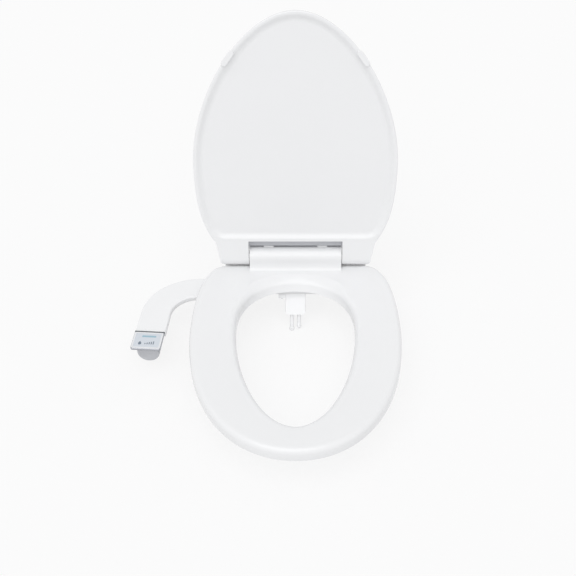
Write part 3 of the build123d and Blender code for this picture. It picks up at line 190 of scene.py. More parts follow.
class FinishColours(bpy.types.PropertyGroup):
    """Colours of the finishes"""

    seat_white: colour("Seat white", "Seat and lid plastic", (0.87, 0.875, 0.885))
    body_white: colour("Body white", "Plate, arm and nozzle plastic", (0.90, 0.905, 0.915))
    inner_white: colour(
        "Inner white", "Plastic of the pieces inside and under the seat", (0.80, 0.80, 0.80)
    )
    white_rubber: colour("White rubber", "Bumpers and grip pads", (0.88, 0.885, 0.895))
    dark_rubber: colour("Dark rubber", "Gasket, sleeves and seals", (0.12, 0.13, 0.14))
    steel: colour("Steel", "Bolts, pins, springs and screws", (0.62, 0.62, 0.63))
    brass: colour("Brass", "Inlet, valve and cone nuts", (0.72, 0.58, 0.32))
    silver: colour("Silver", "Bezel round the label", (0.80, 0.81, 0.83))
    # Hood rim: dark satin metal, partly the hood's own tone and partly painted shade. Its darkness
    # stands in for the shade along the bezel's edges.
    hood_rim: colour("Hood rim", "Satin metal of the hood round the bezel", (0.42, 0.43, 0.46))
    # Knob grey is the knob's own paint. On the hinge shield, which takes the same slot, it is
    # painted shade: the grey stands in for the shadow in the slot behind the hinge block.
    knob_grey: colour("Knob grey", "Control knob and hinge shield", (0.55, 0.56, 0.59))
    label: colour("Label", "Film on the control head", (0.66, 0.70, 0.755))
    tube: colour("Tube", "Water tubes", (0.78, 0.80, 0.80))
    ceramic: colour("Ceramic", "Valve discs", (0.85, 0.83, 0.78))
    print_blue: colour("Blue print", "Bar printed on the label", (0.34, 0.51, 0.60))
    print_grey: colour("Grey print", "Small marks printed on the label", (0.18, 0.22, 0.27))
    damper: colour("Damper", "Swing dampers", (0.35, 0.36, 0.38))


class StageSettings(bpy.types.PropertyGroup):
    """Floor, light and camera"""

    floor_colour: colour("Floor", "Colour of the floor", (0.85, 0.85, 0.855))
    floor_glow: FloatProperty(
        name="Floor glow", description="Share of plain white in the floor that is seen",
        default=0.80, subtype="FACTOR",
    )
    sky: FloatProperty(name="Sky", description="Strength of the even light", default=0.66)
    key: FloatProperty(
        name="Key light", description="Strength of the soft front light", default=1.16,
    )
    key_spread: angle("Key spread", "Angle over which the front light is spread", radians(60))
    key_height: angle("Key height", "Height of the front light over the horizon", radians(58))
    key_side: angle("Key side", "How far the front light stands to the left", radians(14))
    eye: FloatVectorProperty(
        name="Camera", description="Place of the camera", subtype="TRANSLATION",
        default=(0.0, -1.365, 1.108),
    )
    pitch: angle("Pitch", "How far the camera looks down", radians(39.7))
    lens: FloatProperty(name="Lens", description="Focal length in millimetres", default=57.3)
    shift: FloatProperty(name="Shift", description="Sideways shift of the picture", default=-0.0130)


def seat_sizes():
    """Sizes of the seat ring in this scene."""
    return bpy.context.scene.bidet_seat_sizes


def fitting_sizes():
    """Sizes of the wands and fittings in this scene."""
    return bpy.context.scene.bidet_fittings


# Finishes


# For each slot: spread of the colour, roughness and its spread, scale of the relief, bump strength
PLASTIC_LOOKS = {
    "seat_white": (0.015, 0.20, 0.05, 700.0, 0.02),
    "body_white": (0.015, 0.22, 0.05, 700.0, 0.02),
    "inner_white": (0.03, 0.42, 0.08, 1400.0, 0.10),
    "white_rubber": (0.03, 0.55, 0.08, 2200.0, 0.05),
    "dark_rubber": (0.15, 0.58, 0.12, 2200.0, 0.30),
    "knob_grey": (0.03, 0.34, 0.08, 2600.0, 0.08),
    "label": (0.02, 0.38, 0.06, 1800.0, 0.05),
    "tube": (0.03, 0.30, 0.08, 900.0, 0.05),
    "ceramic": (0.04, 0.35, 0.06, 2400.0, 0.06),
    "damper": (0.06, 0.45, 0.08, 1600.0, 0.15),
    "print_blue": (0.02, 0.40, 0.06, 1800.0, 0.02),
    "print_grey": (0.02, 0.40, 0.06, 1800.0, 0.02),
}
METAL_LOOKS = {
    "steel": (0.10, 0.28, 0.14, 1500.0, 0.10),
    "brass": (0.12, 0.30, 0.16, 1300.0, 0.10),
    "silver": (0.05, 0.22, 0.08, 2200.0, 0.04),
    "hood_rim": (0.05, 0.26, 0.08, 2200.0, 0.04),
}
RELIEF_DEPTH = 0.0002
LINE_STRETCH = (0.05, 0.05, 1.0)


def new_group(name):
    """Shader node group with the sockets of a finish, its inputs and the place on the object."""
    group = bpy.data.node_groups.new(name, "ShaderNodeTree")
    group.interface.new_socket(name="Colour", in_out="INPUT", socket_type="NodeSocketColor")
    for label in ("Colour Spread", "Roughness", "Roughness Spread", "Relief Scale"):
        group.interface.new_socket(name=label, in_out="INPUT", socket_type="NodeSocketFloat")
    group.interface.new_socket(name="Colour", in_out="OUTPUT", socket_type="NodeSocketColor")
    for label in ("Roughness", "Height"):
        group.interface.new_socket(name=label, in_out="OUTPUT", socket_type="NodeSocketFloat")
    given = group.nodes.new("NodeGroupInput").outputs
    place = group.nodes.new("ShaderNodeTexCoord").outputs["Object"]
    return group, given, place


def noise(group, coordinates, scale, detail):
    """Noise texture on the given coordinates; scale is a number or a socket."""
    node = group.nodes.new("ShaderNodeTexNoise")
    node.inputs["Detail"].default_value = detail
    group.links.new(coordinates, node.inputs["Vector"])
    if isinstance(scale, float):
        node.inputs["Scale"].default_value = scale
    else:
        group.links.new(scale, node.inputs["Scale"])
    return node.outputs["Fac"]


def around(group, factor, middle, spread):
    """Value that runs across the spread, centred on the middle, as the factor goes from 0 to 1."""
    centred = group.nodes.new("ShaderNodeMath")
    centred.operation = "SUBTRACT"
    centred.inputs[1].default_value = 0.5
    group.links.new(factor, centred.inputs[0])
    scaled = group.nodes.new("ShaderNodeMath")
    scaled.operation = "MULTIPLY_ADD"
    group.links.new(centred.outputs[0], scaled.inputs[0])
    group.links.new(spread, scaled.inputs[1])
    if isinstance(middle, float):
        scaled.inputs[2].default_value = middle
    else:
        group.links.new(middle, scaled.inputs[2])
    return scaled.outputs[0]


def put_out(group, given, shades, gloss, relief):
    """Link three factors to the group's outputs: colour, roughness and height."""
    made = group.nodes.new("NodeGroupOutput").inputs
    tint = group.nodes.new("ShaderNodeVectorMath")
    tint.operation = "SCALE"
    group.links.new(given["Colour"], tint.inputs[0])
    group.links.new(around(group, shades, 1.0, given["Colour Spread"]), tint.inputs["Scale"])
    group.links.new(tint.outputs[0], made["Colour"])
    rough = around(group, gloss, given["Roughness"], given["Roughness Spread"])
    group.links.new(rough, made["Roughness"])
    group.links.new(relief, made["Height"])
    return group


def moulded_group():
    """Moulded skin: faint clouds in its colour, smears in its gloss and a fine grain."""
    group, given, place = new_group("Moulded skin")
    clouds = noise(group, place, scale=9.0, detail=3.0)
    smears = noise(group, place, scale=55.0, detail=5.0)
    grain = noise(group, place, given["Relief Scale"], detail=2.0)
    return put_out(group, given, clouds, smears, grain)


def metal_group():
    """Turned metal: fine level lines in its colour and height, and stains in its gloss."""
    group, given, place = new_group("Turned metal")
    stretch = group.nodes.new("ShaderNodeVectorMath")
    stretch.operation = "MULTIPLY"
    stretch.inputs[1].default_value = LINE_STRETCH
    group.links.new(place, stretch.inputs[0])
    lines = noise(group, stretch.outputs[0], given["Relief Scale"], detail=3.0)
    stains = noise(group, place, scale=160.0, detail=4.0)
    return put_out(group, given, lines, stains, lines)


def new_finish(slot, group, look, metallic):
    """Material of a slot: one effect group, with a bump from its height."""
    colours = bpy.context.scene.bidet_colours
    made = bpy.data.materials.new(slot + FINISH_TAIL)
    made.use_nodes = True
    tree = made.node_tree
    surface = tree.nodes["Principled BSDF"]
    surface.inputs["Metallic"].default_value = metallic
    effect = tree.nodes.new("ShaderNodeGroup")
    effect.node_tree = group
    effect.inputs["Colour"].default_value = solid(getattr(colours, slot))
    *values, strength = look
    labels = ("Colour Spread", "Roughness", "Roughness Spread", "Relief Scale")
    for label, value in zip(labels, values):
        effect.inputs[label].default_value = value
    tree.links.new(effect.outputs["Colour"], surface.inputs["Base Color"])
    tree.links.new(effect.outputs["Roughness"], surface.inputs["Roughness"])
    relief = tree.nodes.new("ShaderNodeBump")
    relief.inputs["Strength"].default_value = strength
    relief.inputs["Distance"].default_value = RELIEF_DEPTH
    tree.links.new(effect.outputs["Height"], relief.inputs["Height"])
    tree.links.new(relief.outputs["Normal"], surface.inputs["Normal"])


def finish(slot):
    """Finish of a slot; the frame's own plain material has the slot's bare name."""
    return bpy.data.materials[slot + FINISH_TAIL]


def solid(rgb):
    """Colour with full alpha."""
    return (*rgb, 1.0)


class BIDET_OT_finishes(bpy.types.Operator):
    """Make the finishes and give them to the CAD nodes"""

    bl_idname = "bidet.finishes"
    bl_label = "Finishes"

    def execute(self, context):
        skin = moulded_group()
        for slot, look in PLASTIC_LOOKS.items():
            new_finish(slot, skin, look, 0.0)
        metal = metal_group()
        for slot, look in METAL_LOOKS.items():
            new_finish(slot, metal, look, 1.0)
        for node, slot in SLOT_OF_NODE.items():
            NODES[node].data.materials.clear()
            NODES[node].data.materials.append(finish(slot))
        return {"FINISHED"}


# Mesh helpers


def place_piece(name, mesh, body, slot, *stands_for):
    """Object of a finished mesh that rides on a body and takes its finish from a slot."""
    piece = bpy.data.objects.new(name, mesh)
    bpy.context.scene.collection.objects.link(piece)
    if not mesh.materials:
        mesh.materials.append(finish(slot))
    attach(piece, body)
    if stands_for:
        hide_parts(*stands_for)
    return piece


def smooth_mesh(name, vertices, faces, crease=radians(35)):
    """Mesh with outward faces, shaded smooth where they meet at less than the crease angle."""
    mesh = bpy.data.meshes.new(name)
    mesh.from_pydata(vertices, [], faces)
    shell = bmesh.new()
    shell.from_mesh(mesh)
    bmesh.ops.recalc_face_normals(shell, faces=shell.faces)
    shell.to_mesh(mesh)
    shell.free()
    mesh.shade_smooth()
    mesh.set_sharp_from_angle(angle=crease)
    return mesh


def closed_loft(rings):
    """Vertices and faces of rings of equal length, joined in order and back to the first."""
    vertices = [point for ring in rings for point in ring]
    count = len(rings[0])
    faces = []
    for row in range(len(rings)):
        low = row * count
        high = (row + 1) % len(rings) * count
        for column in range(count):
            across = (column + 1) % count
            faces.append((low + column, low + across, high + across, high + column))
    return vertices, faces


def merged(parts):
    """Vertices and faces of several meshes as one."""
    vertices = []
    faces = []
    for points, loops in parts:
        start = len(vertices)
        vertices.extend(points)
        faces.extend(tuple(start + corner for corner in loop) for loop in loops)
    return vertices, faces


def turned(profile, place, segments=64, closed=False, shape=None):
    """Vertices and faces of (radius, height) points turned about the local Z axis.

    A radius of zero makes a pole. A closed profile joins its end to its start. The shape, if
    given, gives a new radius and height for a turn round the axis.
    """
    vertices = []
    rows = []
    for radius, height in profile:
        if radius == 0.0:
            rows.append([len(vertices)] * segments)
            vertices.append(place @ Vector((0.0, 0.0, height)))
            continue
        row = []
        for step in range(segments):
            turn = tau * step / segments
            reach, level = shape(turn, radius, height) if shape else (radius, height)
            row.append(len(vertices))
            vertices.append(place @ Vector((reach * cos(turn), reach * sin(turn), level)))
        rows.append(row)
    pairs = list(zip(rows, rows[1:]))
    if closed:
        pairs.append((rows[-1], rows[0]))
    faces = []
    for low, high in pairs:
        for step in range(segments):
            after = (step + 1) % segments
            corners = (low[step], low[after], high[after], high[step])
            faces.append(tuple(dict.fromkeys(corners)))
    return vertices, faces


def axis_place(origin, direction, side=Vector((1.0, 0.0, 0.0))):
    """Matrix with its Z along a direction and its X as near as can be to the side."""
    up = direction.normalized()
    across = up.cross(side).normalized()
    along = across.cross(up)
    turn = Matrix((along, across, up)).transposed().to_4x4()
    return Matrix.Translation(origin) @ turn


def quarter_turn(steps):
    """Angles from nothing to a quarter turn, in equal steps."""
    return [pi / 2 * step / steps for step in range(steps + 1)]


def foot_place(low, high):
    """Matrix at the middle of a box's lowest face."""
    return Matrix.Translation(((low.x + high.x) / 2, (low.y + high.y) / 2, low.z))


def loose_boxes(node):
    """Lowest and highest corner of each loose piece of a CAD node, from left to right."""
    source = NODES[node]
    shell = bmesh.new()
    shell.from_mesh(source.data)
    bmesh.ops.remove_doubles(shell, verts=shell.verts, dist=1e-6)
    left = set(shell.verts)
    boxes = []
    while left:
        grown = [left.pop()]
        points = []
        while grown:
            vertex = grown.pop()
            points.append(source.matrix_world @ vertex.co)
            for edge in vertex.link_edges:
                other = edge.other_vert(vertex)
                if other in left:
                    left.remove(other)
                    grown.append(other)
        low = Vector([min(point[axis] for point in points) for axis in range(3)])
        high = Vector([max(point[axis] for point in points) for axis in range(3)])
        boxes.append((low, high))
    shell.free()
    return sorted(boxes, key=lambda box: tuple(box[0]))


def prism(outline, low, high, place):
    """Vertices and faces of a flat outline raised from a low to a high level."""
    count = len(outline)
    vertices = [place @ Vector((x, y, low)) for x, y in outline]
    vertices += [place @ Vector((x, y, high)) for x, y in outline]
    faces = [tuple(range(count)), tuple(range(count, 2 * count))]
    for corner in range(count):
        after = (corner + 1) % count
        faces.append((corner, after, count + after, count + corner))
    return vertices, faces


def rounded(x, y, width, height):
    """Rectangle with round corners, about a middle point."""
    corner_share = 0.4
    radius = min(width, height) * corner_share
    points = []
    corners = ((1, 1, 0.0), (-1, 1, pi / 2), (-1, -1, pi), (1, -1, 3 * pi / 2))
    for right, up, first in corners:
        for turn in quarter_turn(steps=4):
            points.append((
                x + right * (width / 2 - radius) + radius * cos(first + turn),
                y + up * (height / 2 - radius) + radius * sin(first + turn),
            ))
    return points


def smooth_step(value):
    """Soft rise from 0 to 1 as the value runs from 0 to 1."""
    held = min(max(value, 0.0), 1.0)
    return held * held * (3.0 - 2.0 * held)


def mix(first, second, share):
    """Value between the first and the second."""
    return first + (second - first) * share


# Seat ring


# Shares that shape the section: at the hole's sides and behind it, then over the deck
LEAD_SHARES = (0.55, 0.75)
TRAIL_SHARES = (0.45, 1.08)
WALL_START = 0.25
DECK_SHARES = (0.02, 0.06, 0.14, 0.28, 0.42, 0.56, 0.70, 0.85)
EDGE_POINTS = 21
HOLE_LIP = 0.001


def curve_points(controls, samples):
    """Points at equal steps along a chain of cubic curves, given by four control points each."""
    fine_steps = 200
    fine = []
    for curve in controls:
        fine.extend(interpolate_bezier(*curve, fine_steps))
    lengths = [0.0]
    for before, here in zip(fine, fine[1:]):
        lengths.append(lengths[-1] + (here - before).length)
    points = []
    place = 0
    for step in range(samples + 1):
        goal = lengths[-1] * step / samples
        while place < len(fine) - 2 and lengths[place + 1] < goal:
            place += 1
        span = lengths[place + 1] - lengths[place]
        share = (goal - lengths[place]) / span if span > 0 else 0.0
        points.append(fine[place].lerp(fine[place + 1], share))
    return points


def half_outline(rear_chain, front_chain, samples):
    """Right half of an outline from the rear middle to the tip, in two equal shares of points."""
    rear = curve_points(rear_chain, samples // 2)
    front = curve_points(front_chain, samples // 2)
    return rear + front[1:]


def cubic(*corners):
    """Control points of a cubic curve in the ground plane."""
    return [Vector((x, y, 0.0)) for x, y in corners]


def seat_half(inset):
    """Right half of the seat's outer outline, drawn in by the inset."""
    sizes = seat_sizes()
    fullness = 0.60
    corner = 0.040
    half = SEAT_HIGH.x - inset
    flat = sizes.rear_flat - inset / 2
    rear = SEAT_HIGH.y - inset
    tip = SEAT_LOW.y + inset
    wide = -sizes.seat_wide
    reach = fullness * (wide - tip)
    straight = cubic((0, rear), (flat / 3, rear), (flat * 2 / 3, rear), (flat, rear))
    shoulder = cubic((flat, rear), (flat + corner, rear), (half, wide / 2), (half, wide))
    nose = cubic((half, wide), (half, wide - reach), (fullness * half, tip), (0, tip))
    return half_outline([straight, shoulder], [nose], sizes.samples)


def hole_half(outset, hole_rear):
    """Right half of the hole's outline, widened by the outset."""
    sizes = seat_sizes()
    fullness = 0.52
    rear_fullness = 0.60
    half = sizes.hole_half + outset
    rear = -hole_rear + outset
    tip = -sizes.hole_tip - outset
    wide = -sizes.hole_wide
    front_reach = fullness * (wide - tip)
    rear_reach = rear_fullness * (rear - wide)
    back = cubic(
        (0, rear), (rear_fullness * half, rear), (half, wide + rear_reach), (half, wide)
    )
    nose = cubic((half, wide), (half, wide - front_reach), (fullness * half, tip), (0, tip))
    return half_outline([back], [nose], sizes.samples)


class BIDET_OT_seat_ring(bpy.types.Operator):
    """Build the seat ring with its scooped rear and rounded edges"""

    bl_idname = "bidet.seat_ring"
    bl_label = "Seat ring"

    def execute(self, context):
        sizes = seat_sizes()
        rows = [self.section(sizes, *place) for place in self.places(sizes)]
        halves = list(zip(*rows))
        rings = [self.both_sides(half) for half in halves]
        mesh = smooth_mesh("seat_ring", *closed_loft(rings), crease=radians(40))
        place_piece("seat_ring", mesh, "seat", "seat_white", "seat_shell")
        return {"FINISHED"}

    def places(self, sizes):
        """Matching points of hole and outer edge, outward directions and a mark for hidden ones."""
        step = 0.001
        hole = hole_half(0.0, sizes.hole_rear)
        wider = hole_half(step, sizes.hole_rear)
        low = hole_half(0.0, sizes.hole_rear_low)
        outer = seat_half(0.0)
        narrower = seat_half(step)
        for near, wide, under, far, drawn_in in zip(hole, wider, low, outer, narrower):
            inner_out = (wide - near).normalized()
            outer_out = (far - drawn_in).normalized()
            hidden = far.x < COVER_HIGH.x and far.y > -sizes.hole_rear
            if hidden:
                far = Vector((far.x, -sizes.post_line, 0.0))
            yield near, inner_out, under, far, outer_out, hidden

    def section(self, sizes, near, inner_out, under, far, outer_out, hidden):
        """Points round one cross-section, from the hole's lower edge over the deck and back."""
        top = SEAT_HIGH.z - sizes.toe_step
        bottom = SEAT_LOW.z
        rear = smooth_step((near.y + sizes.scoop_end) / (sizes.scoop_end - sizes.scoop_full))
        corner = smooth_step(near.x / sizes.scoop_corner_x)
        scoop = mix(sizes.scoop_width, sizes.scoop_corner, corner)
        width = mix(sizes.inner_roll, scoop, rear)
        roll = sizes.hidden_roll if hidden else sizes.outer_roll
        brow = near + inner_out * width
        wall_top = near.lerp(under, WALL_START * rear)
        edge = far - outer_out * roll
        inner_top = top - sizes.sag
        wall_level = inner_top - sizes.inner_roll
        fall = sizes.scoop_fall * rear

        points = [self.at(under, bottom + HOLE_LIP)]
        points += [self.at(under.lerp(wall_top, 0.5), mix(bottom, wall_level, 0.5))]
        lead_share = mix(*LEAD_SHARES, rear)
        lead = self.at(brow.lerp(near, lead_share), inner_top - fall * lead_share)
        trail_fall = mix(TRAIL_SHARES[0] * sizes.inner_roll, TRAIL_SHARES[1] * fall, rear)
        trail = self.at(near, inner_top - trail_fall)
        curve = (self.at(brow, inner_top), lead, trail, self.at(wall_top, wall_level))
        points += reversed(interpolate_bezier(*curve, EDGE_POINTS))
        for share in DECK_SHARES:
            points.append(self.at(brow.lerp(edge, share), top - sizes.sag * (1 - share) ** 2))
        for turn in quarter_turn(steps=8):
            level = top - roll * (1 - cos(turn))
            points.append(self.at(edge + outer_out * roll * sin(turn), level))
        for turn in quarter_turn(steps=4):
            inset = sizes.foot_roll * (1 - cos(turn))
            level = bottom + sizes.foot_roll * (1 - sin(turn))
            points.append(self.at(far - outer_out * inset, level))
        rim = far - outer_out * sizes.wall
        hole_rim = near + inner_out * sizes.wall
        points.append(self.at(rim, bottom))
        points.append(self.at(rim, bottom + sizes.base_recess))
        points.append(self.at(hole_rim, bottom + sizes.base_recess))
        points.append(self.at(hole_rim, bottom))
        points.append(self.at(under + inner_out * HOLE_LIP, bottom))
        return points

    def at(self, place, level):
        """Point over a place in the ground plane."""
        return Vector((place.x, place.y, level))

    def both_sides(self, half):
        """Full ring from its right half."""
        mirrored = [Vector((-point.x, point.y, point.z)) for point in reversed(half[1:-1])]
        return list(half) + mirrored


# Control head


def head_place():
    """Matrix of the control head: X to its side, Y back along the arm, Z up, from the arm's end."""
    origin = Vector((KNOB_CENTRE.x, KNOB_CENTRE.y, 0.0))
    side = Vector((-HEADING.y, HEADING.x, 0.0))
    turn = Matrix((side, -HEADING, Vector((0.0, 0.0, 1.0)))).transposed().to_4x4()
    return Matrix.Translation(origin) @ turn


class BIDET_OT_knob(bpy.types.Operator):
    """Turn the control knob with its grip flutes"""

    bl_idname = "bidet.knob"
    bl_label = "Knob"

    def execute(self, context):
        sizes = context.scene.bidet_head_sizes
        radius = sizes.knob_radius
        front = sizes.knob_front
        back = front - sizes.knob_depth
        edge = 0.003
        back_edge = 0.0005
        face_ring = 0.001
        dish = 0.0006
        profile = [
            (0.0, front - sizes.knob_wall),
            (sizes.stem, front - sizes.knob_wall),
            (sizes.stem, back),
            (sizes.knob_hub, back),
            (sizes.knob_hub, front - sizes.knob_cap),
            (radius - sizes.knob_wall, front - sizes.knob_cap),
            (radius - sizes.knob_wall, back),
            (radius - back_edge, back),
            (radius, back + back_edge),
        ]
        flute_rows = 6
        for row in range(1, flute_rows):
            profile.append((radius, mix(back + back_edge, front - edge, row / flute_rows)))
        for turn in quarter_turn(steps=6):
            profile.append((radius - edge * (1 - cos(turn)), front - edge * (1 - sin(turn))))
        profile += [
            (radius - edge - face_ring, front),
            (radius - edge - 2 * face_ring, front - dish),
            (0.0, front - dish),
        ]

        def flute(turn, reach, height):
            if reach < radius or height < back + 2 * back_edge:
                return reach, height
            return reach - sizes.flute_depth * max(0.0, cos(sizes.flutes * turn)) ** 2, height

        place = axis_place(KNOB_CENTRE, HEADING, Vector((0.0, 0.0, 1.0)))
        ring = turned(profile, place, segments=8 * sizes.flutes, shape=flute)
        mesh = smooth_mesh("knob_grip", *ring)
        place_piece("knob_grip", mesh, "control", "knob_grey", "knob")
        return {"FINISHED"}


class BIDET_OT_gasket(bpy.types.Operator):
    """Lay the gasket between the arm and the hood: a rounded lip over a shorter foot"""

    bl_idname = "bidet.gasket"
    bl_label = "Gasket"

    def execute(self, context):
        sizes = context.scene.bidet_head_sizes
        low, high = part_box("head_gasket")
        sideways = Matrix(((0, 0, 1), (1, 0, 0), (0, 1, 0))).to_4x4()
        across = head_place() @ sideways
        end = sizes.gasket_width / 2
        middle = -sizes.gasket_depth / 2
        lip_high = high.z + sizes.gasket_rise
        lip_low = lip_high - sizes.gasket_lip
        lip = rounded(middle, (lip_low + lip_high) / 2, sizes.gasket_depth, sizes.gasket_lip)
        foot = rounded(middle, (low.z + lip_low) / 2, sizes.gasket_depth, lip_low - low.z)
        parts = [
            prism(lip, -end, end, across),
            prism(foot, sizes.gasket_set_in - end, end - sizes.gasket_set_in, across),
        ]
        mesh = smooth_mesh("gasket_strip", *merged(parts))
        place_piece("gasket_strip", mesh, "base", "dark_rubber", "head_gasket")
        return {"FINISHED"}


class BIDET_OT_label_marks(bpy.types.Operator):
    """Print plain marks on the label: a bar, a drop and rising ticks"""

    bl_idname = "bidet.label_marks"
    bl_label = "Label marks"

    def execute(self, context):
        sizes = context.scene.bidet_head_sizes
        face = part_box("label_plate")[1].z
        middle = head_place() @ Matrix.Translation((0.0, -sizes.label_middle, face))
        height = sizes.mark_height
        bar = rounded(x=0.0015, y=0.0100, width=0.025, height=0.0042)
        marks = [self.drop(x=-0.0120, y=-0.0070, radius=0.0036)]
        ticks = 5
        first_tick = -0.0025
        tick_pitch = 0.0036
        tick_width = 0.0018
        tick_foot = -0.010
        first_height = 0.003
        growth = 0.0012
        for step in range(ticks):
            tall = first_height + growth * step
            marks.append(
                rounded(first_tick + tick_pitch * step, tick_foot + tall / 2, tick_width, tall)
            )
        prints = {"label_bar": ("print_blue", [bar]), "label_ticks": ("print_grey", marks)}
        for name, (ink, outlines) in prints.items():
            solids = [prism(outline, 0.0, height, middle) for outline in outlines]
            mesh = smooth_mesh(name, *merged(solids), crease=radians(30))
            mesh.materials.append(finish(ink))
            place_piece(name, mesh, "base", "label")
        return {"FINISHED"}

    def drop(self, x, y, radius):
        """Water drop with its point up."""
        steps = 32
        stretch = 1.25
        points = []
        for step in range(steps):
            turn = tau * step / steps
            across = radius * sin(turn) * sin(turn / 2)
            points.append((x + across, y + radius * stretch * cos(turn)))
        return points


# Wands and fittings


class BIDET_OT_wands(bpy.types.Operator):
    """Turn the two wash wands with their grooves and spray holes"""

    bl_idname = "bidet.wands"
    bl_label = "Wash wands"

    def execute(self, context):
        sizes = fitting_sizes()
        self.wand(sizes, "rear_nozzle", "rear_wand", sizes.rear_tip, sizes.rear_length)
        self.wand(sizes, "front_nozzle", "front_wand", sizes.front_tip, sizes.front_length)
        return {"FINISHED"}

    def wand(self, sizes, node, body, tip, reach):
        """One wand, from its ball tip up to its piston."""
        low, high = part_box(node)
        centre = Vector(((low.x + high.x) / 2, low.y + tip, low.z + tip))
        radius = sizes.wand_radius
        profile = [(0.0, -tip)]
        neck = (tip * tip - radius * radius) ** 0.5
        ball_steps = 24
        ball_end = atan2(neck, radius)
        for step in range(1, ball_steps + 1):
            turn = mix(-pi / 2, ball_end, step / ball_steps)
            profile.append((tip * cos(turn), tip * sin(turn)))
        grooves = 3
        first_groove = neck + 0.0025
        pitch = 0.0032
        slope = 0.0003
        floor = 0.0006
        for groove in range(grooves):
            level = first_groove + pitch * groove
            profile += [
                (radius, level),
                (radius - sizes.wand_groove, level + slope),
                (radius - sizes.wand_groove, level + slope + floor),
                (radius, level + 2 * slope + floor),
            ]
        piston_foot = reach - sizes.piston_depth
        ring_middle = reach - sizes.piston_depth / 2
        ring_bed = sizes.piston - 2 * sizes.ring
        profile += [
            (radius, piston_foot),
            (sizes.piston, piston_foot),
            (sizes.piston, ring_middle - sizes.ring),
            (ring_bed, ring_middle - sizes.ring),
            (ring_bed, ring_middle + sizes.ring),
            (sizes.piston, ring_middle + sizes.ring),
            (sizes.piston, reach),
            (0.0, reach),
        ]
        place = axis_place(centre, -WAND_AXIS)
        mesh = smooth_mesh(node + "_wand", *turned(profile, place, segments=72))
        self.spray_holes(mesh, sizes, centre, tip)
        place_piece(node + "_wand", mesh, body, "body_white", node)

    def spray_holes(self, mesh, sizes, centre, tip):
        """Press small pits into the upper side of the ball tip."""
        upper = WAND_AXIS.cross(Vector((1.0, 0.0, 0.0))).normalized()
        side_turn = 0.42
        pit = 0.86
        close = 1e-5
        turns = (0.0, -side_turn, side_turn)
        aims = [Matrix.Rotation(turn, 3, WAND_AXIS) @ upper for turn in turns]
        for vertex in mesh.vertices:
            outward = vertex.co - centre
            if abs(outward.length - tip) > close:
                continue
            if any(outward.angle(aim) * tip < sizes.spray for aim in aims):
                vertex.co = centre + outward * pit


class BIDET_OT_inlet(bpy.types.Operator):
    """Turn the inlet nipple with its thread and hexagon"""

    bl_idname = "bidet.inlet"
    bl_label = "Water inlet"

    def execute(self, context):
        sizes = fitting_sizes()
        low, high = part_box("inlet_nipple")
        place = foot_place(low, high)
        bore = sizes.inlet_bore
        crest = sizes.inlet_thread
        collar_low = sizes.inlet_length
        collar_high = collar_low + sizes.collar_depth
        rows = 72
        thread = [(bore, 0.0), (crest - sizes.inlet_depth, 0.0)]
        for row in range(1, rows):
            thread.append((crest, sizes.inlet_length * row / rows))
        thread += [(crest - sizes.inlet_depth, sizes.inlet_length), (bore, sizes.inlet_length)]

        def screw(turn, reach, height):
            if reach < crest:
                return reach, height
            phase = (height / sizes.inlet_pitch - turn / tau) % 1.0
            runout = smooth_step(height / sizes.inlet_pitch)
            valley = abs(2.0 * phase - 1.0)
            return reach - sizes.inlet_depth * mix(1.0, valley, runout), height

        def hexagon(turn, reach, height):
            if reach == bore:
                return reach, height
            side = sizes.collar_radius * cos(pi / 6)
            return min(reach, side / cos((turn + pi / 6) % (pi / 3) - pi / 6)), height

        chamfer = 0.0007
        collar = [
            (bore, collar_low),
            (sizes.collar_radius - chamfer, collar_low),
            (sizes.collar_radius, collar_low + chamfer),
            (sizes.collar_radius, collar_high - chamfer),
            (sizes.collar_radius - chamfer, collar_high),
            (bore, collar_high),
        ]
        spigot_top = high.z - low.z
        spigot = [
            (bore, collar_high),
            (sizes.spigot, collar_high),
            (sizes.spigot, spigot_top),
            (bore, spigot_top),
        ]
        parts = [
            turned(thread, place, segments=96, closed=True, shape=screw),
            turned(collar, place, segments=96, closed=True, shape=hexagon),
            turned(spigot, place, closed=True),
        ]
        mesh = smooth_mesh("inlet_thread", *merged(parts))
        place_piece("inlet_thread", mesh, "base", "brass", "inlet_nipple")
        return {"FINISHED"}


class BIDET_OT_anchors(bpy.types.Operator):
    """Turn the ribbed rubber sleeves and the knurled cone nuts on the bolts"""

    bl_idname = "bidet.anchors"
    bl_label = "Anchors"

    def execute(self, context):
        sizes = fitting_sizes()
        sleeves = []
        valley = sizes.sleeve - sizes.rib_depth
        rows = 12 * sizes.sleeve_ribs
        for low, high in loose_boxes("expansion_sleeves"):
            tall = high.z - low.z
            profile = [(sizes.bolt, 0.0), (valley, 0.0)]
            for row in range(1, rows):
                wave = 0.5 - 0.5 * cos(tau * sizes.sleeve_ribs * row / rows)
                profile.append((mix(valley, sizes.sleeve, wave), tall * row / rows))
            profile += [(valley, tall), (sizes.bolt, tall)]
            sleeves.append(turned(profile, foot_place(low, high), closed=True))
        mesh = smooth_mesh("ribbed_sleeves", *merged(sleeves))
        place_piece("ribbed_sleeves", mesh, "base", "dark_rubber", "expansion_sleeves")
        self.nuts(sizes)
        return {"FINISHED"}

    def nuts(self, sizes):
        """Cone nuts with a fine knurl above their tapered ends."""
        knurls = 40
        knurl_depth = 0.0003
        taper = 0.0016
        edge = 0.0005

        def knurl(turn, reach, height):
            if reach < sizes.sleeve:
                return reach, height
            return reach - knurl_depth * (0.5 - 0.5 * cos(knurls * turn)), height

        nuts = []
        for low, high in loose_boxes("cone_nuts"):
            tall = high.z - low.z
            profile = [
                (sizes.bolt, 0.0),
                (sizes.sleeve - taper, 0.0),
                (sizes.sleeve, taper),
                (sizes.sleeve, tall - edge),
                (sizes.sleeve - edge, tall),
                (sizes.bolt, tall),
            ]
            place = foot_place(low, high)
            nuts.append(turned(profile, place, segments=6 * knurls, closed=True, shape=knurl))
        mesh = smooth_mesh("knurled_nuts", *merged(nuts), crease=radians(25))
        place_piece("knurled_nuts", mesh, "base", "brass", "cone_nuts")


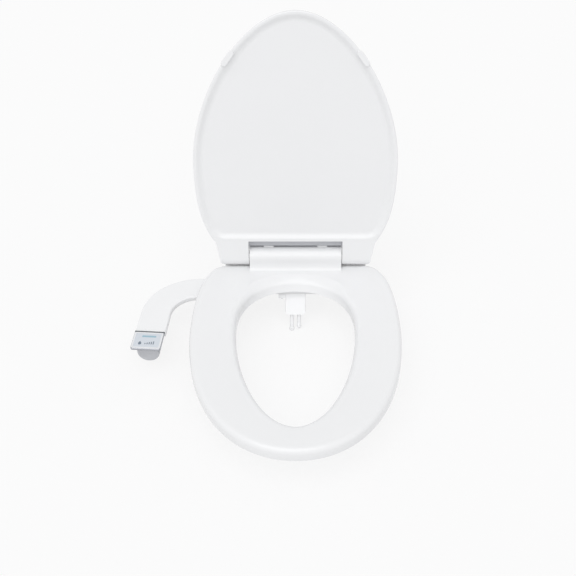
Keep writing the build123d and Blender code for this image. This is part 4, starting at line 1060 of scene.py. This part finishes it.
class BIDET_OT_screws(bpy.types.Operator):
    """Turn the screws, with a cross recess in every head"""

    bl_idname = "bidet.screws"
    bl_label = "Screws"

    def execute(self, context):
        sizes = fitting_sizes()
        down = Vector((0.0, 0.0, -1.0))
        depth = sizes.screw_depth
        heads = []
        for low, high in loose_boxes("cover_screws"):
            place = axis_place(foot_place(low, high).translation, down)
            shank = [
                (sizes.screw_shank, -depth),
                (sizes.screw_shank, low.z - high.z),
                (0.0, low.z - high.z),
            ]
            heads.append(self.screw(sizes.screw_head, depth, shank, place))
        mesh = smooth_mesh("crossed_screws", *merged(heads))
        place_piece("crossed_screws", mesh, "base", "steel", "cover_screws")
        low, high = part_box("housing_screw")
        place = axis_place((low + high) / 2 + WAND_AXIS * (depth / 2), WAND_AXIS)
        head = self.screw(sizes.ear_screw, depth, [(0.0, -depth)], place)
        ear = smooth_mesh("crossed_ear_screw", *head)
        place_piece("crossed_ear_screw", ear, "base", "steel", "housing_screw")
        return {"FINISHED"}

    def screw(self, radius, depth, shank, place):
        """Screw with its face at local Z = 0, a cross pressed into it and the shank behind it."""
        rings = 12
        recess = 0.55 * depth
        arm = 0.62 * radius
        half_width = 0.17 * radius

        def cross(turn, reach, level):
            x = abs(reach * cos(turn))
            y = abs(reach * sin(turn))
            pressed = level == 0.0 and min(x, y) < half_width and max(x, y) < arm
            return reach, -recess if pressed else level

        profile = [(0.0, -recess)]
        profile += [(radius * ring / rings, 0.0) for ring in range(1, rings + 1)]
        profile += [(radius, -depth), *shank]
        return turned(profile, place, shape=cross)


# Stage


class BIDET_OT_stage(bpy.types.Operator):
    """Set the floor, the light and the camera"""

    bl_idname = "bidet.stage"
    bl_label = "Stage"

    def execute(self, context):
        settings = context.scene.bidet_stage
        self.lay_floor(settings)
        self.light(context, settings)
        self.aim_camera(context, settings)
        context.scene.view_settings.view_transform = "Standard"
        return {"FINISHED"}

    def lay_floor(self, settings):
        """Large pale floor just under the lowest point of the part."""
        reach = 30.0
        gap = 0.0005
        level = CAD_BOX[0].z - gap
        mesh = bpy.data.meshes.new("floor")
        corners = [(x * reach, y * reach, level) for x, y in ((-1, -1), (1, -1), (1, 1), (-1, 1))]
        mesh.from_pydata(corners, [], [(0, 1, 2, 3)])
        mesh.materials.append(self.floor_paint(settings))
        floor = bpy.data.objects.new("floor", mesh)
        bpy.context.scene.collection.objects.link(floor)

    def floor_paint(self, settings):
        """White floor: partly plain white where it is seen, partly lit so that it keeps shadows."""
        paint = bpy.data.materials.new("floor")
        paint.use_nodes = True
        tree = paint.node_tree
        lit = tree.nodes["Principled BSDF"]
        lit.inputs["Base Color"].default_value = solid(settings.floor_colour)
        lit.inputs["Roughness"].default_value = 0.9
        lit.inputs["Specular IOR Level"].default_value = 0.1
        plain = tree.nodes.new("ShaderNodeEmission")
        share = tree.nodes.new("ShaderNodeMath")
        share.operation = "MULTIPLY"
        share.inputs[1].default_value = settings.floor_glow
        tree.links.new(self.seen(tree), share.inputs[0])
        blend = tree.nodes.new("ShaderNodeMixShader")
        tree.links.new(share.outputs[0], blend.inputs[0])
        tree.links.new(lit.outputs[0], blend.inputs[1])
        tree.links.new(plain.outputs[0], blend.inputs[2])
        tree.links.new(blend.outputs[0], tree.nodes["Material Output"].inputs["Surface"])
        return paint

    def seen(self, tree):
        """Value of 1 on rays from the camera, a mirror or a clear surface."""
        path = tree.nodes.new("ShaderNodeLightPath")
        total = path.outputs["Is Camera Ray"]
        for label in ("Is Glossy Ray", "Is Transmission Ray"):
            either = tree.nodes.new("ShaderNodeMath")
            either.operation = "MAXIMUM"
            tree.links.new(total, either.inputs[0])
            tree.links.new(path.outputs[label], either.inputs[1])
            total = either.outputs[0]
        return total

    def light(self, context, settings):
        """Even sky that looks white, and one soft light from the front and above."""
        world = bpy.data.worlds.new("studio")
        world.use_nodes = True
        tree = world.node_tree
        sky = tree.nodes["Background"]
        sky.inputs["Color"].default_value = solid((1.0, 1.0, 1.0))
        sky.inputs["Strength"].default_value = settings.sky
        white = tree.nodes.new("ShaderNodeBackground")
        white.inputs["Color"].default_value = solid((1.0, 1.0, 1.0))
        blend = tree.nodes.new("ShaderNodeMixShader")
        tree.links.new(self.seen(tree), blend.inputs[0])
        tree.links.new(sky.outputs[0], blend.inputs[1])
        tree.links.new(white.outputs[0], blend.inputs[2])
        tree.links.new(blend.outputs[0], tree.nodes["World Output"].inputs["Surface"])
        context.scene.world = world
        lamp = bpy.data.lights.new("key", "SUN")
        lamp.energy = settings.key
        lamp.angle = settings.key_spread
        holder = bpy.data.objects.new("key", lamp)
        holder.rotation_euler = (pi / 2 - settings.key_height, 0.0, -settings.key_side)
        context.scene.collection.objects.link(holder)

    def aim_camera(self, context, settings):
        """Camera in front of the seat, looking back and down."""
        camera = bpy.data.cameras.new("camera")
        camera.sensor_width = 36.0
        camera.lens = settings.lens
        camera.shift_x = settings.shift
        holder = bpy.data.objects.new("camera", camera)
        holder.location = settings.eye
        holder.rotation_euler = (pi / 2 - settings.pitch, 0.0, 0.0)
        context.scene.collection.objects.link(holder)
        context.scene.camera = holder


class BIDET_PT_panel(bpy.types.Panel):
    """Steps of the bidet seat, in order"""

    bl_idname = "BIDET_PT_panel"
    bl_label = "Bidet seat"
    bl_space_type = "VIEW_3D"
    bl_region_type = "UI"
    bl_category = "Bidet seat"

    def draw(self, context):
        for step in STEPS:
            self.layout.operator(step.bl_idname)


GROUPS = {
    "bidet_seat_sizes": SeatSizes,
    "bidet_head_sizes": HeadSizes,
    "bidet_fittings": FittingSizes,
    "bidet_colours": FinishColours,
    "bidet_stage": StageSettings,
}
STEPS = (
    BIDET_OT_finishes,
    BIDET_OT_seat_ring,
    BIDET_OT_knob,
    BIDET_OT_gasket,
    BIDET_OT_label_marks,
    BIDET_OT_wands,
    BIDET_OT_inlet,
    BIDET_OT_anchors,
    BIDET_OT_screws,
    BIDET_OT_stage,
)


def register():
    """Register the classes and hang the property groups on the scene."""
    for group in GROUPS.values():
        bpy.utils.register_class(group)
    for name, group in GROUPS.items():
        setattr(bpy.types.Scene, name, PointerProperty(type=group))
    for step in STEPS:
        bpy.utils.register_class(step)
    bpy.utils.register_class(BIDET_PT_panel)


def unregister():
    """Take back everything that register added."""
    bpy.utils.unregister_class(BIDET_PT_panel)
    for step in reversed(STEPS):
        bpy.utils.unregister_class(step)
    for name, group in GROUPS.items():
        delattr(bpy.types.Scene, name)
        bpy.utils.unregister_class(group)


def main():
    """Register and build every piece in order."""
    register()
    bpy.ops.bidet.finishes()
    bpy.ops.bidet.seat_ring()
    bpy.ops.bidet.knob()
    bpy.ops.bidet.gasket()
    bpy.ops.bidet.label_marks()
    bpy.ops.bidet.wands()
    bpy.ops.bidet.inlet()
    bpy.ops.bidet.anchors()
    bpy.ops.bidet.screws()
    bpy.ops.bidet.stage()


if __name__ == "__main__":
    main()
